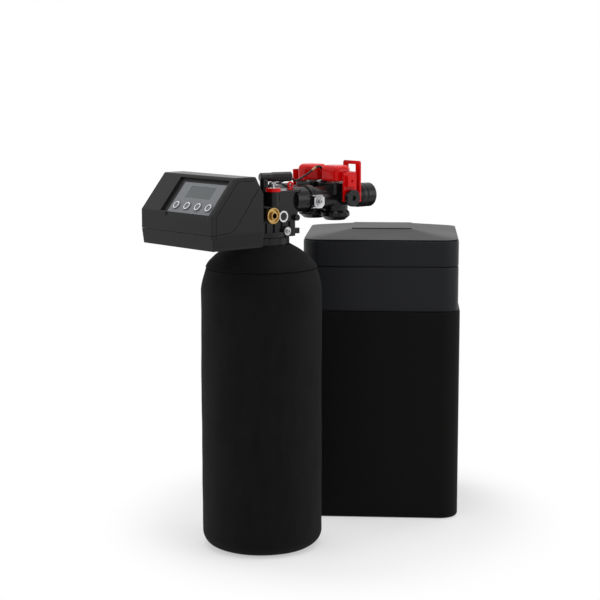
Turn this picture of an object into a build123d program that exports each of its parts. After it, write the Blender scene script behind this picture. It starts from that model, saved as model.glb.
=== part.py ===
"""Water softener: jacketed resin tank, metered control valve, bypass and brine cabinet."""
import os
from math import acos, asin, cos, hypot, pi, radians, sin, tan

from build123d import *

os.makedirs("parts", exist_ok=True)

# General
seat_gap = 0.3
running_gap = 0.08
quarter_turn = 90.0
half_turn = 180.0
full_turn = 360.0
ON_FLOOR = (Align.CENTER, Align.CENTER, Align.MIN)
IN_MIDDLE = (Align.CENTER, Align.CENTER, Align.CENTER)

# Resin tank
tank_radius = 101.6
tank_wall = 3.2
tank_lift = 12.0
lower_dome_depth = 52.0
tank_straight = 402.0
upper_dome_depth = 85.0
neck_radius = 42.0
neck_bore_radius = 31.75
neck_height = 8.5
dome_centre_low = tank_lift + lower_dome_depth
dome_centre_high = dome_centre_low + tank_straight
neck_foot = dome_centre_high + upper_dome_depth * (1 - (neck_radius / tank_radius) ** 2) ** 0.5
neck_top = neck_foot + neck_height

# Foot
foot_ring_radius = 83.0
foot_height = 50.0

# Jacket
jacket_thickness = 6.0
jacket_radius = tank_radius + seat_gap + jacket_thickness
jacket_corner_radius = 27.0
jacket_hem_angle = 15.0
shoulder_start = dome_centre_high
hood_drop = 4.9
hood_height = neck_top - hood_drop - shoulder_start
hood_seam_share = 0.4815
hood_seam_radius_share = 0.912
sleeve_shoulder_shares = [(0.986, 0.1235), (0.963, 0.2469), (0.9335, 0.3827)]
hood_shares = [(0.872, 0.6049), (0.762, 0.7531), (0.652, 0.8642), (0.545, 0.9506), (0.478, 1.0)]
shoulder_direction = (-0.38, 1)
hood_inner_shares = [(0.8165, 0.5716), (0.716, 0.7049), (0.611, 0.8049), (0.512, 0.8864), (0.458, 0.9259)]
seam_inner_radius_share = 0.8565
sleeve_inner_share = 0.83

# Tank contents
riser_radius = 13.35
riser_wall = 2.0
riser_foot = 26.0
basket_radius = 22.0
basket_height = 46.0
basket_groove = 2.5
basket_rings = 5
upper_basket_radius = 28.0
upper_basket_height = 42.0
gravel_top = 66.0
resin_top = 372.0

# Valve turn on the tank
valve_turn = -45.0

# Collar
collar_radius = 50.0
collar_drop = 4.0
collar_height = 12.0
collar_flutes = 14
collar_flute_radius = 4.0
collar_flute_share = 1.05
spigot_radius = 40.2
spigot_foot = 4.0
neck_ring_section = 1.8
neck_ring_radius = 38.5

# Valve body
port_height = 72.0
body_half_width = 45.0
body_front = 74.0
body_back = 52.0
body_corner_radius = 9.0
body_foot = 8.3
body_rise = 19.0
body_top = port_height + body_rise
body_waist_half_width = 38.0
body_waist_top = 36.0
flange_half_width = 50.0
flange_thickness = 4.0
flange_corner_radius = 12.0
piston_height = 48.0
piston_bore_radius = 19.0
piston_bore_back = 46.0
port_pitch = 60.0
port_stub_radius = 22.5
port_flange_radius = 25.0
port_flange_face = 80.0
port_flange_thickness = 6.0
port_bore_radius = 13.5
rib_thickness = 3.0
rib_count = 4
rib_reach = 2.7

# Piston and seals
seal_count = 5
seal_outer_radius = piston_bore_radius - running_gap
seal_inner_radius = 14.4
seal_groove = 1.5
piston_radius = 14.1
piston_length = 62.0
piston_waist_radius = 8.5
piston_land = 12.0
piston_rest_back = 26.0
rod_radius = 4.8
rod_front = 146.0
rod_thread_depth = 0.7
rod_thread_pitch = 3.0
rod_thread_count = 8
piston_plug_radius = 24.0
piston_plug_length = 9.0

# Gear train
gear_module = 2.0
main_teeth = 36
idler_teeth = 20
pinion_teeth = 9
pressure_angle = 20.0
gear_backlash = 0.75
addendum_share = 0.85
dedendum_share = 1.25
gear_face = 7.0
gear_back_plane = 124.0
main_hub_radius = 13.0
main_hub_length = 10.0
gear_web_recess = 2.5
gear_rim = 7.0
idler_angle = 0.0
pinion_angle = 112.0
idler_pin_radius = 3.0
pinion_hub_radius = 5.0
plate_thickness = 3.0
plate_left = 46.0
plate_right = 84.0
plate_top = 96.0
motor_radius = 17.0
motor_length = 30.0
motor_shaft_radius = 2.0
motor_boss_radius = 6.0
motor_boss_height = 3.0

# Powerhead housing
head_half_width = 100.0
head_front = 187.0
head_back = 78.0
head_foot = 2.0
head_parting = 28.0
head_fold = 61.0
head_top = 122.5
head_slope_back = 136.0
head_top_back = 95.0
head_rear_shoulder = 93.0
head_wall = 2.8
head_corner_radius = 3.0
head_draft = 2.5
parting_gap = 0.7
crease_low_back = 137.0
crease_low = 39.0
crease_bend_back = 149.0
crease_bend = 30.5
crease_high_back = 89.5
crease_high = 100.0
bead_width = 6.5
bead_inset = 2.4
groove_width = 1.1
groove_depth = 0.9

# Display
recess_left = -47.0
recess_right = 88.0
recess_low = 1.5
recess_high = 73.0
recess_depth = 4.2
lip_height = 9.0
lip_depth = 2.6
overlay_left = -30.0
overlay_right = 85.0
overlay_low = 2.5
overlay_high = 65.0
overlay_thickness = 1.8
window_left = -5.5
window_right = 62.0
window_low = 33.5
window_high = 58.0
window_thickness = 1.5
button_pitch = 29.4
button_first = -14.5
button_line = 16.6
button_radius = 7.6
button_height = 2.6
button_stem_radius = 2.6
button_stem_length = 5.0
button_travel = 1.0
board_drop = 9.5
board_thickness = 1.6
board_margin = 4.0
board_post_radius = 3.0
board_chip_width = 14.0
board_chip_height = 2.0

# Injector and brine valve
injector_right = 58.0
injector_back = -21.0
injector_radius = 11.5
injector_rise = 0.6
injector_length = 25.6
injector_top = body_top + injector_rise
injector_foot = injector_top - injector_length
injector_arm_half_width = 8.0
cap_ring_radius = 13.2
cap_ring_height = 6.0
stem_radius = 2.6
stem_drop = 21.0
stem_rise = 16.4
stem_top = injector_top + stem_rise
stem_nut_radius = 7.2
stem_nut_height = 3.4
stem_travel = 3.0
stem_well_depth = 23.0
fitting_height = 50.0
fitting_back = -25.0
fitting_face = 62.0
fitting_radius = 14.0
fitting_collar = 5.0
fitting_lip = 2.6
fitting_bore_radius = 4.8
fitting_bore_depth = 9.0
brine_way_radius = 3.2
plug_back = 5.0
plug_height = 46.5
plug_radius = 10.0
plug_lip = 2.0
plug_face = 54.0
plug_core_radius = 7.2

# Drain elbow
elbow_right = 37.0
elbow_front = 24.0
elbow_rise = 24.5
elbow_height = body_top + elbow_rise
elbow_turn = 17.0
elbow_radius = 8.6
elbow_rib_depth = 0.8
elbow_rib_count = 8
elbow_rib_pitch = 4.6
elbow_round = 2.0
elbow_heel = 8.2
elbow_reach = 51.0
elbow_bore_radius = 6.35
elbow_leg_bore_radius = 5.0
drain_hole_depth = 16.0
elbow_leg_radius = 7.4
drain_eye_radius = 6.2
drain_eye_hole = 3.2
drain_eye_thickness = 3.0
drain_eye_back = 36.0
drain_eye_rise = 8.0
drain_eye_height = body_top + drain_eye_rise

# Body screws and bosses
screw_head_radius = 3.9
screw_head_height = 3.2
screw_washer_radius = 7.4
screw_washer_height = 1.4
screw_shank_radius = 2.5
screw_shank_length = 10.0
screw_socket_share = 0.55
side_boss_back = 24.0
side_boss_height = 9.0
side_boss_radius = 9.5
side_boss_reach = 5.5
side_knob_back = 47.0
side_knob_height = 42.0
side_knob_radius = 5.5
side_knob_reach = 6.0
rear_lug_height = 12.0
rear_lug_half_width = 6.0
rear_lug_reach = 7.0
rear_lug_half_height = 5.0

# Bypass
barrel_back = 150.0
barrel_radius = 23.0
barrel_drop = 24.0
barrel_rise = 26.0
barrel_foot = port_height - barrel_drop
barrel_top = port_height + barrel_rise
barrel_bore_radius = 17.5
barrel_shoulder_half_width = 24.0
barrel_shoulder_drop = 20.0
barrel_shoulder_corner = 7.0
bypass_neck_radius = 20.5
bridge_radius = 15.0
rotor_clearance = 0.35
rotor_port_radius = 11.0
rotor_stem_radius = 7.0
rotor_stem_rise = 8.0
knob_lift = 3.0
knob_height = 29.0
knob_round = 8.0
knob_corner_radius = 8.6
knob_heel_half_width = 22.0
knob_heel = 18.0
knob_shoulder_half_width = 25.0
knob_shoulder = 10.0
knob_nose_half_width = 10.0
knob_nose = 28.0
cap_radius = 26.5
cap_foot_radius = 17.5
cap_height = 17.5
cap_taper = 7.5
cap_foot = barrel_foot - cap_height
cap_waist = cap_foot + cap_taper
cap_band = 6.0
cap_grips = 12
cap_grip_radius = 2.2
side_port_face = 80.0
side_port_radius = 13.0
side_port_rim_radius = 15.2
side_port_rim = 6.0
side_port_bore_radius = 9.0
side_plug_depth = 10.0
side_plug_recess = 4.0
side_plug_recess_radius = 5.0
rear_port_radius = 17.0
rear_port_end = 200.0
rear_flange_radius = 20.0
rear_flange_thickness = 5.0
adapter_radius = 22.0
adapter_end = 235.5
adapter_bore_radius = 12.7
adapter_groove = 1.5
adapter_round = 2.5
adapter_collar = 10.0
clip_line = 191.5
clip_thickness = 3.4
clip_half_width = 22.3
clip_rise = 64.0
short_clip_rise = 43.0
clip_drop = 10.0
clip_foot = port_height - clip_drop
clip_leg = 6.0
clip_corner_radius = 4.5
clip_window_half_width = 11.0
clip_window_inset = 6.5
clip_window_height = 13.5
clip_slot_half_width = 3.0
clip_slot_height = 4.0
clip_slot_rise = 28.0
clip_slot_low = port_height + clip_slot_rise
clip_slot_step = 7.0
clip_slot_side = 10.0
side_clip_line = 68.0
side_clip_thickness = 3.0
side_clip_half_width = 15.5
side_clip_rise = 46.0
side_clip_drop = 6.0
side_clip_top = port_height + side_clip_rise
side_clip_foot = port_height - side_clip_drop
side_clip_leg = 4.0
side_clip_tab = 5.5
side_clip_tab_half_width = 10.0
side_clip_tab_height = 21.0
side_clip_tab_drop = 5.0
side_clip_eye_radius = 2.2

# Couplers and retaining plates
coupler_radius = port_bore_radius - running_gap
coupler_wall = 2.5
coupler_half_length = 22.0
coupler_groove = 1.5
ring_section = 1.4
retainer_width = 24.0
retainer_thickness = 1.6
retainer_cut = 6.0
retainer_line = 86.5
retainer_drop = 3.5
retainer_leg_half_spread = 10.5
retainer_leg_radius = 1.2
retainer_leg_length = 8.0
retainer_hook = 4.5
retainer_boss_radius = 9.0
retainer_boss_reach = 2.0

# Meter
turbine_radius = 10.0
turbine_hub_radius = 3.0
turbine_blades = 5
turbine_blade_thickness = 1.4
turbine_length = 9.0
turbine_line = 92.0
turbine_pin_radius = 1.0
turbine_bar_height = 2.4
turbine_bar_thickness = 2.0
socket_radius = 6.6
socket_rise = 2.4
socket_top = barrel_top + socket_rise
socket_bore_radius = 2.8
boot_radius = 2.3
boot_depth = 6.0
boot_crest_rise = 26.5
boot_rise = barrel_top + boot_crest_rise
boot_line = 150.0
boot_tip_back = 116.0
boot_tip_right = 5.0
boot_tip_rise = 21.5
boot_tip_height = barrel_top + boot_tip_rise
boot_crest_line = 141.0
boot_tip_direction = (0.3, -1, -0.5)
lead_radius = 1.7
lead_start_right = 22.0
lead_start_height = 95.2
lead_low_line = -60.0
lead_rise_right = 23.7
lead_rise_line = 19.0
lead_rise_height = body_top + 10.2
lead_crest_line = 50.0
lead_crest_height = body_top + 18.7
lead_bend_right = 15.0
lead_bend_line = 67.5
lead_bend_height = body_top + 12.5
lead_tip_direction = (-0.3, 1, 0.5)
gland_radius = 3.6
gland_length = 9.0
gland_inset = 4.5

# Brine cabinet
cabinet_right = 209.0
cabinet_back = 325.0
cabinet_width = 301.0
cabinet_depth = 308.0
cabinet_height = 399.5
cabinet_corner_radius = 36.0
cabinet_wall = 3.2
cabinet_floor = 4.0
cabinet_foot_radius = 6.0
cabinet_shoulder_radius = 2.5
collar_step = 3.5
seam_gap = 1.0
cabinet_collar_top = 484.3
collar_rim = 8.0
collar_spigot = 12.0
lid_foot = 485.3
lid_rim_top = 535.5
lid_groove = 2.4
lid_groove_depth = 2.2
lid_brim = 3.0
lid_roof_top = 547.7
lid_plateau_width = 118.0
lid_plateau_depth = 118.0
lid_plateau_step = 1.3
lid_wall = 3.0
lid_top_thickness = 4.0

# Cabinet contents
well_radius = 42.0
well_wall = 2.6
well_top = 455.0
well_margin = 14.0
well_slot_count = 6
well_slot_height = 22.0
well_slot_width = 3.0
well_slot_low = 14.0
well_cap_radius = 45.0
well_cap_height = 9.0
well_cap_knob_radius = 8.0
well_cap_knob_height = 8.0
grid_height = 88.0
grid_thickness = 7.0
grid_margin = 4.0
grid_slot_length = 60.0
grid_slot_width = 9.0
grid_slot_pitch = 30.0
grid_slot_rows = 4
grid_leg_radius = 12.0
grid_leg_inset = 46.0
float_rod_radius = 3.0
float_radius = 16.0
float_height = 52.0
float_low = 130.0
float_rod_top = 416.0
float_right = 14.0
pickup_radius = 9.0
pickup_wall = 2.0
pickup_foot = 30.0
pickup_top = 405.0
pickup_cage_radius = 14.0
pickup_cage_height = 40.0
pickup_arm_radius = 5.0
float_guide_radius = 6.5
float_guide_thickness = 4.0
overflow_height = 372.0
overflow_side_share = 0.3
overflow_radius = 9.5
overflow_bore_radius = 6.4
overflow_reach = 24.0
overflow_nut_radius = 16.0
overflow_nut_thickness = 5.0
overflow_nut_sides = 6
line_hole_radius = 6.0
line_hole_height = 440.0


# Helpers
def save(shape, node):
    export_step(shape, "parts/" + node + ".step")


def group(shapes):
    return Compound(children=list(shapes))


def turned(outline):
    return revolve(Plane.XZ * make_face(outline), Axis.Z)


def turned_points(points):
    return turned(Polyline(*points, close=True))


def drum(radius, low, high, right=0, back=0):
    return Pos(right, back, low) * Cylinder(radius, high - low, align=ON_FLOOR)


def tube(outer, inner, low, high, right=0, back=0):
    return drum(outer, low, high, right, back) - drum(inner, low, high, right, back)


def bar(start, direction, radius, length):
    return Plane(origin=start, z_dir=direction) * Cylinder(radius, length, align=ON_FLOOR)


def block(left, right, front, back, low, high):
    middle = Pos((left + right) / 2, (front + back) / 2, low)
    return middle * Box(right - left, back - front, high - low, align=ON_FLOOR)


def side_slab(points, half_width):
    return extrude(Plane.YZ * make_face(Polyline(*points, close=True)), half_width, both=True)


def rounded_block(width, depth, corner, low, high):
    return Pos(0, 0, low) * extrude(RectangleRounded(width, depth, corner), high - low)


def on_tank(shape):
    return Pos(0, 0, neck_top) * Rot(0, 0, valve_turn) * shape


def in_cabinet(shape):
    return Pos(cabinet_right, cabinet_back, 0) * shape


def both_sides(shape):
    return [shape, mirror(shape, Plane.YZ)]


# Resin tank
def tank_skin(inset, low_cut):
    radius = tank_radius - inset
    low_depth = lower_dome_depth - inset
    low = EllipticalCenterArc((0, dome_centre_low), radius, low_depth, -quarter_turn, arc_size=quarter_turn)
    side = Line((radius, dome_centre_low), (radius, dome_centre_high))
    high_depth = upper_dome_depth - inset
    high = EllipticalCenterArc((0, dome_centre_high), radius, high_depth, 0, arc_size=quarter_turn)
    middle = Line((0, dome_centre_high + high_depth), (0, tank_lift + inset))
    skin = turned(low + side + high + middle)
    return skin - drum(radius * 2, low_cut - tank_straight, low_cut)


def make_tank():
    outside = tank_skin(0, 0) + drum(neck_radius, dome_centre_high, neck_top)
    inside = tank_skin(tank_wall, 0) + drum(neck_bore_radius, dome_centre_high, neck_top)
    return outside - inside


def make_foot():
    hem = jacket_corner_radius - jacket_thickness - seat_gap
    centre = tank_radius - hem
    start = radians(jacket_hem_angle)
    hem_start = (centre + hem * sin(start), jacket_corner_radius - hem * cos(start))
    hem_end = (centre + hem, jacket_corner_radius)
    middle_angle = (start + pi / 2) / 2
    hem_middle = (centre + hem * sin(middle_angle), jacket_corner_radius - hem * cos(middle_angle))
    outline = Polyline((0, 0), (foot_ring_radius, 0), hem_start)
    outline += ThreePointArc(hem_start, hem_middle, hem_end)
    bowl_depth = lower_dome_depth + seat_gap
    bowl_angle = asin((dome_centre_low - foot_height) / bowl_depth) * half_turn / pi
    bowl = EllipticalCenterArc((0, dome_centre_low), tank_radius + seat_gap, bowl_depth, -quarter_turn,
                               arc_size=quarter_turn - bowl_angle)
    outline += Polyline(hem_end, (tank_radius, foot_height), bowl @ 1)
    return turned(outline + bowl + Line(bowl @ 0, (0, 0)))


def sleeve_curve(inset):
    radius = jacket_radius - inset
    arc = jacket_corner_radius - inset
    centre = jacket_radius - jacket_corner_radius
    start = radians(jacket_hem_angle)
    middle = (start + pi / 2) / 2
    low = jacket_corner_radius
    hem_start = (centre + arc * sin(start), low - arc * cos(start))
    hem_middle = (centre + arc * sin(middle), low - arc * cos(middle))
    return hem_start, hem_middle, (radius, low)


def make_sleeve():
    seam = shoulder_start + hood_height * hood_seam_share
    outer = sleeve_curve(0)
    inner = sleeve_curve(jacket_thickness)
    shoulder = [(jacket_radius, shoulder_start)]
    shoulder += [(jacket_radius * r, shoulder_start + hood_height * z) for r, z in sleeve_shoulder_shares]
    shoulder += [(jacket_radius * hood_seam_radius_share, seam)]
    inside = jacket_radius * sleeve_inner_share
    inner_shoulder = [(inside, seam), (inside, shoulder_start), (inner[2][0], shoulder_start)]
    outline = ThreePointArc(*outer) + Line(outer[2], shoulder[0])
    outline += Spline(*shoulder, tangents=[(0, 1), shoulder_direction])
    outline += Line(shoulder[-1], inner_shoulder[0])
    outline += Polyline(*inner_shoulder)
    outline += Line(inner_shoulder[-1], inner[2])
    outline += ThreePointArc(*reversed(inner)) + Line(inner[0], outer[0])
    return turned(outline) - tank_skin(-seat_gap, 0)


def make_hood():
    seam = shoulder_start + hood_height * hood_seam_share
    outer = [(jacket_radius * hood_seam_radius_share, seam)]
    outer += [(jacket_radius * r, shoulder_start + hood_height * z) for r, z in hood_shares]
    inner = [(jacket_radius * seam_inner_radius_share, seam)]
    inner += [(jacket_radius * r, shoulder_start + hood_height * z) for r, z in hood_inner_shares]
    outline = Spline(*outer) + Line(outer[-1], inner[-1]) + Polyline(*reversed(inner))
    outline += Line(inner[0], outer[0])
    return turned(outline)


# Tank contents
def make_riser():
    return tube(riser_radius, riser_radius - riser_wall, riser_foot, neck_top + body_foot)


def grooved_basket(outer, inner, low, height):
    points = [(inner, low), (outer - basket_groove, low)]
    pitch = height / basket_rings
    for step in range(basket_rings):
        floor = low + pitch * step
        points += [(outer, floor + pitch / 4), (outer, floor + pitch * 3 / 4)]
        points += [(outer - basket_groove, floor + pitch)]
    points += [(inner, low + height)]
    return turned_points(points)


def make_lower_basket():
    inside = riser_radius + seat_gap
    cup = grooved_basket(basket_radius, inside, riser_foot - riser_wall, basket_height)
    floor = drum(basket_radius - basket_groove, riser_foot - riser_wall * 2, riser_foot - riser_wall)
    return cup + floor


def make_upper_basket():
    inside = riser_radius + seat_gap
    low = neck_top - upper_basket_height
    cup = grooved_basket(upper_basket_radius, inside, low, upper_basket_height)
    return cup + tube(neck_bore_radius + riser_wall, inside, neck_top, neck_top + riser_wall)


def bed(low, high):
    room = tank_skin(tank_wall + seat_gap, 0)
    slab = drum(tank_radius, low, high)
    core = drum(riser_radius + seat_gap, 0, high)
    return room & slab, core


def make_gravel():
    body, core = bed(0, gravel_top)
    basket = drum(basket_radius + seat_gap, 0, riser_foot - riser_wall + basket_height + seat_gap)
    return body - core - basket


def make_resin():
    body, core = bed(gravel_top, resin_top)
    basket = drum(basket_radius + seat_gap, 0, riser_foot - riser_wall + basket_height + seat_gap)
    return body - core - basket


# Valve
def make_collar():
    low = -collar_drop
    ring = drum(collar_radius, low, low + collar_height)
    ring -= drum(neck_radius + seat_gap, low, seat_gap)
    ring -= drum(neck_ring_radius + neck_ring_section + seat_gap, low, low + collar_height)
    for step in range(collar_flutes):
        angle = full_turn * step / collar_flutes
        flute = drum(collar_flute_radius, low, low + collar_height, collar_radius * collar_flute_share)
        ring -= Rot(0, 0, angle) * flute
    return ring


def make_neck_ring():
    lift = neck_ring_section + seat_gap / 2
    return Pos(0, 0, lift) * Torus(neck_ring_radius - neck_ring_section, neck_ring_section)


def vertical_edges(shape):
    return shape.edges().filter_by(Axis.Z)


def valve_outside():
    waist_block = block(-body_waist_half_width, body_waist_half_width, -body_front, body_back,
                        body_foot, body_waist_top)
    waist_block = fillet(vertical_edges(waist_block), body_corner_radius)
    upper = block(-body_half_width, body_half_width, -body_front, body_back,
                  body_waist_top, body_top - flange_thickness)
    upper = fillet(vertical_edges(upper), body_corner_radius)
    flange = block(-flange_half_width, flange_half_width, -body_front, body_back + flange_thickness,
                   body_top - flange_thickness, body_top)
    flange = fillet(vertical_edges(flange), flange_corner_radius)
    base = drum(collar_radius - flange_thickness, body_foot, body_waist_top / 2)
    spigot = drum(spigot_radius, spigot_foot, body_foot + flange_thickness)
    return waist_block + upper + flange + base + spigot


def port_axis_points(back):
    return [(side * port_pitch / 2, back, port_height) for side in (-1, 1)]


def valve_ports():
    solid = None
    for right, back, height in port_axis_points(body_back - body_corner_radius):
        length = port_flange_face - back
        stub = bar((right, back, height), (0, 1, 0), port_stub_radius, length)
        lip_start = (right, port_flange_face - port_flange_thickness, height)
        lip = bar(lip_start, (0, 1, 0), port_flange_radius, port_flange_thickness)
        solid = stub + lip if solid is None else solid + stub + lip
    return solid


def valve_ribs():
    ribs = []
    span = body_back + body_front / 2
    for step in range(rib_count):
        back = body_back - span * (step + 1) / (rib_count + 1)
        rib = block(-body_waist_half_width - rib_reach, body_waist_half_width + rib_reach,
                    back - rib_thickness / 2, back + rib_thickness / 2,
                    body_waist_top / 2, body_waist_top)
        ribs.append(rib)
    return ribs


def make_valve_body():
    body = valve_outside() + valve_ports()
    for rib in valve_ribs():
        body += rib
    arm = block(0, injector_right, injector_back - injector_arm_half_width,
                injector_back + injector_arm_half_width, injector_foot, body_top - cap_ring_height)
    body += arm + drum(injector_radius, injector_foot, injector_top, injector_right, injector_back)
    body += bar((0, fitting_back, fitting_height), (1, 0, 0), fitting_radius - fitting_lip,
                fitting_face - fitting_collar - seat_gap)
    body += bar((0, plug_back, plug_height), (1, 0, 0), plug_radius, plug_face - plug_lip - seat_gap)
    for side in (-1, 1):
        direction = (side, 0, 0)
        reach = body_waist_half_width + side_boss_reach
        body += bar((0, side_boss_back, side_boss_height + side_boss_radius), direction,
                    side_boss_radius, reach)
        body += bar((0, side_knob_back - side_knob_radius, side_knob_height), direction,
                    side_knob_radius, body_half_width + side_knob_reach)
        body += block(*sorted((0, side * (body_half_width - body_corner_radius))),
                      body_back - rear_lug_half_width, body_back + rear_lug_reach,
                      rear_lug_height, rear_lug_height + rear_lug_half_height * 2)
    body -= bar((0, -body_front, piston_height), (0, 1, 0), piston_bore_radius,
                body_front + piston_bore_back)
    for right, back, height in port_axis_points(port_flange_face):
        body -= bar((right, back, height), (0, -1, 0), port_bore_radius, coupler_half_length + seat_gap)
        passage = body_back - body_corner_radius
        body -= bar((right, passage, height), (0, 1, 0), turbine_radius + seat_gap,
                    port_flange_face - passage)
    body -= drum(riser_radius + running_gap, 0, body_foot + riser_wall * 3)
    body -= drum(riser_radius - riser_wall, 0, piston_height)
    body -= drum(stem_radius + seat_gap, injector_top - stem_well_depth, injector_top,
                 injector_right, injector_back)
    body -= bar((fitting_face, fitting_back, fitting_height), (-1, 0, 0), brine_way_radius,
                fitting_bore_depth + fitting_collar)
    body -= drum(elbow_leg_bore_radius, body_top - drain_hole_depth, body_top, elbow_right, -elbow_front)
    screws = side_boss_height + side_boss_radius
    for side in (-1, 1):
        start = (side * (body_waist_half_width + side_boss_reach), side_boss_back, screws)
        body -= bar(start, (-side, 0, 0), screw_shank_radius + running_gap, screw_shank_length + seat_gap)
    return body


def make_piston_plug():
    start = (0, -body_front, piston_height)
    plug = bar(start, (0, -1, 0), piston_plug_radius, head_back - body_front + head_wall - seat_gap)
    plug += bar(start, (0, 1, 0), piston_bore_radius - running_gap, piston_plug_length)
    return plug - bar((0, -head_front, piston_height), (0, 1, 0), rod_radius + seat_gap, head_front)


def make_seal_stack():
    start = -body_front + piston_plug_length + seat_gap
    end = piston_bore_back - seat_gap
    pitch = (end - start) / seal_count
    points = [(seal_inner_radius, start)]
    for step in range(seal_count):
        low = start + pitch * step
        points += [(seal_outer_radius, low), (seal_outer_radius, low + pitch / 2)]
        points += [(seal_outer_radius - seal_groove, low + pitch / 2)]
        points += [(seal_outer_radius - seal_groove, low + pitch)]
    points += [(seal_inner_radius, end)]
    stack = turned_points(points)
    lying = Pos(0, 0, piston_height) * Rot(-quarter_turn, 0, 0) * stack
    return lying - drum(riser_radius - riser_wall, 0, piston_height)


def make_piston():
    end = piston_rest_back
    start = end - piston_length
    points = [(0, start), (piston_radius, start), (piston_radius, start + piston_land)]
    points += [(piston_waist_radius, start + piston_land), (piston_waist_radius, end - piston_land)]
    points += [(piston_radius, end - piston_land), (piston_radius, end), (0, end)]
    piston = turned_points(points)
    rod_points = [(0, start), (rod_radius, start)]
    top = -rod_front + rod_thread_pitch * rod_thread_count
    rod_points += [(rod_radius, top)]
    for step in range(rod_thread_count):
        high = top - rod_thread_pitch * step
        rod_points += [(rod_radius - rod_thread_depth, high - rod_thread_pitch / 2)]
        rod_points += [(rod_radius, high - rod_thread_pitch)]
    rod_points += [(0, -rod_front)]
    rod = turned_points(rod_points)
    return Pos(0, 0, piston_height) * Rot(-quarter_turn, 0, 0) * (piston + rod)


# Gear train
def flank_angle(teeth, radius):
    pitch_radius = gear_module * teeth / 2
    base_radius = pitch_radius * cos(radians(pressure_angle))
    here = acos(min(1, base_radius / max(radius, base_radius)))
    there = radians(pressure_angle)
    half = (pi * gear_module / 2 - gear_backlash) / (2 * pitch_radius)
    return half + (tan(there) - there) - (tan(here) - here)


def gear_outline(teeth, phase):
    pitch_radius = gear_module * teeth / 2
    tip = pitch_radius + gear_module * addendum_share
    root = pitch_radius - gear_module * dedendum_share
    points = []
    for step in range(teeth):
        middle = radians(phase) + 2 * pi * step / teeth
        rising = [(radius, middle - flank_angle(teeth, radius)) for radius in (root, pitch_radius, tip)]
        falling = [(radius, middle + flank_angle(teeth, radius)) for radius in (tip, pitch_radius, root)]
        points += [(radius * cos(angle), radius * sin(angle)) for radius, angle in rising + falling]
    return Polyline(*points, close=True)


def gear_blank(teeth, phase):
    return extrude(make_face(gear_outline(teeth, phase)), gear_face)


def front_plane(right, height, back):
    return Plane(origin=(right, -back, height), x_dir=(1, 0, 0), z_dir=(0, -1, 0))


def idler_centre():
    distance = gear_module * (main_teeth + idler_teeth) / 2
    angle = radians(idler_angle)
    return distance * cos(angle), piston_height + distance * sin(angle)


def pinion_centre():
    right, height = idler_centre()
    distance = gear_module * (idler_teeth + pinion_teeth) / 2
    angle = radians(pinion_angle)
    return right + distance * cos(angle), height + distance * sin(angle)


def make_main_gear():
    gear = gear_blank(main_teeth, idler_angle)
    rim = gear_module * main_teeth / 2 - gear_rim
    recess = tube(rim, main_hub_radius, gear_face - gear_web_recess, gear_face)
    gear += drum(main_hub_radius, 0, main_hub_length)
    gear += drum(main_hub_radius - running_gap, -plate_thickness - seat_gap, 0)
    gear -= recess
    gear -= drum(rod_radius + seat_gap, -plate_thickness - seat_gap, main_hub_length)
    return front_plane(0, piston_height, gear_back_plane) * gear


def idler_phase():
    return idler_angle + half_turn + half_turn / idler_teeth


def make_idler():
    right, height = idler_centre()
    gear = gear_blank(idler_teeth, idler_phase())
    rim = gear_module * idler_teeth / 2 - gear_rim
    gear -= tube(rim, idler_pin_radius * 2, gear_face - gear_web_recess, gear_face)
    gear -= drum(idler_pin_radius + running_gap, 0, gear_face)
    return front_plane(right, height, gear_back_plane) * gear


def make_pinion():
    right, height = pinion_centre()
    step = full_turn / idler_teeth
    share = ((pinion_angle - idler_phase()) % step) / step
    phase = pinion_angle + half_turn + share * full_turn / pinion_teeth + half_turn / pinion_teeth
    gear = gear_blank(pinion_teeth, phase)
    gear += drum(pinion_hub_radius, gear_face, main_hub_length)
    gear += drum(motor_shaft_radius, -motor_boss_height, 0)
    return front_plane(right, height, gear_back_plane) * gear


def make_gear_plate():
    back = gear_back_plane - seat_gap
    low = head_foot + head_wall
    plate = block(-plate_left, plate_right, -back, -back + plate_thickness, low, plate_top)
    upright = [edge for edge in plate.edges().filter_by(Axis.Y) if edge.center().Z > piston_height]
    plate = fillet(upright, body_corner_radius)
    plate += block(-plate_left, plate_right, -back, -back + plate_thickness * 3, low, low + plate_thickness)
    right, height = idler_centre()
    pin_length = gear_face + plate_thickness
    plate += bar((right, -back + plate_thickness, height), (0, -1, 0), idler_pin_radius, pin_length)
    plate -= bar((0, -back - gear_face, piston_height), (0, 1, 0), main_hub_radius, gear_face * 2)
    motor_right, motor_height = pinion_centre()
    hole = motor_boss_radius + running_gap
    plate -= bar((motor_right, -back - gear_face, motor_height), (0, 1, 0), hole, gear_face * 2)
    return plate


def make_motor():
    right, height = pinion_centre()
    face = gear_back_plane - seat_gap - plate_thickness
    can = bar((right, -face, height), (0, 1, 0), motor_radius, motor_length)
    can += bar((right, -face, height), (0, -1, 0), motor_boss_radius, motor_boss_height - seat_gap)
    ring = motor_radius * 3 / 4
    can -= bar((right, motor_length - face, height), (0, -1, 0), ring, motor_boss_height / 2)
    return can - bar((right, -face, height), (0, -1, 0), motor_shaft_radius + running_gap, motor_boss_height)


# Powerhead
def head_outline(inset, foot):
    slope_run = head_front - head_slope_back
    slope_rise = head_top - head_fold
    slope = hypot(slope_run, slope_rise)
    fold_cut = inset * (slope - slope_rise) / slope_run
    top_cut = inset * (slope - slope_run) / slope_rise
    return [
        (-head_front + inset, foot),
        (-head_front + inset, head_fold - fold_cut),
        (-head_slope_back + top_cut, head_top - inset),
        (-head_top_back - inset / 2, head_top - inset),
        (-head_back - inset, head_rear_shoulder - inset / 2),
        (-head_back - inset, foot),
    ]


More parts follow.
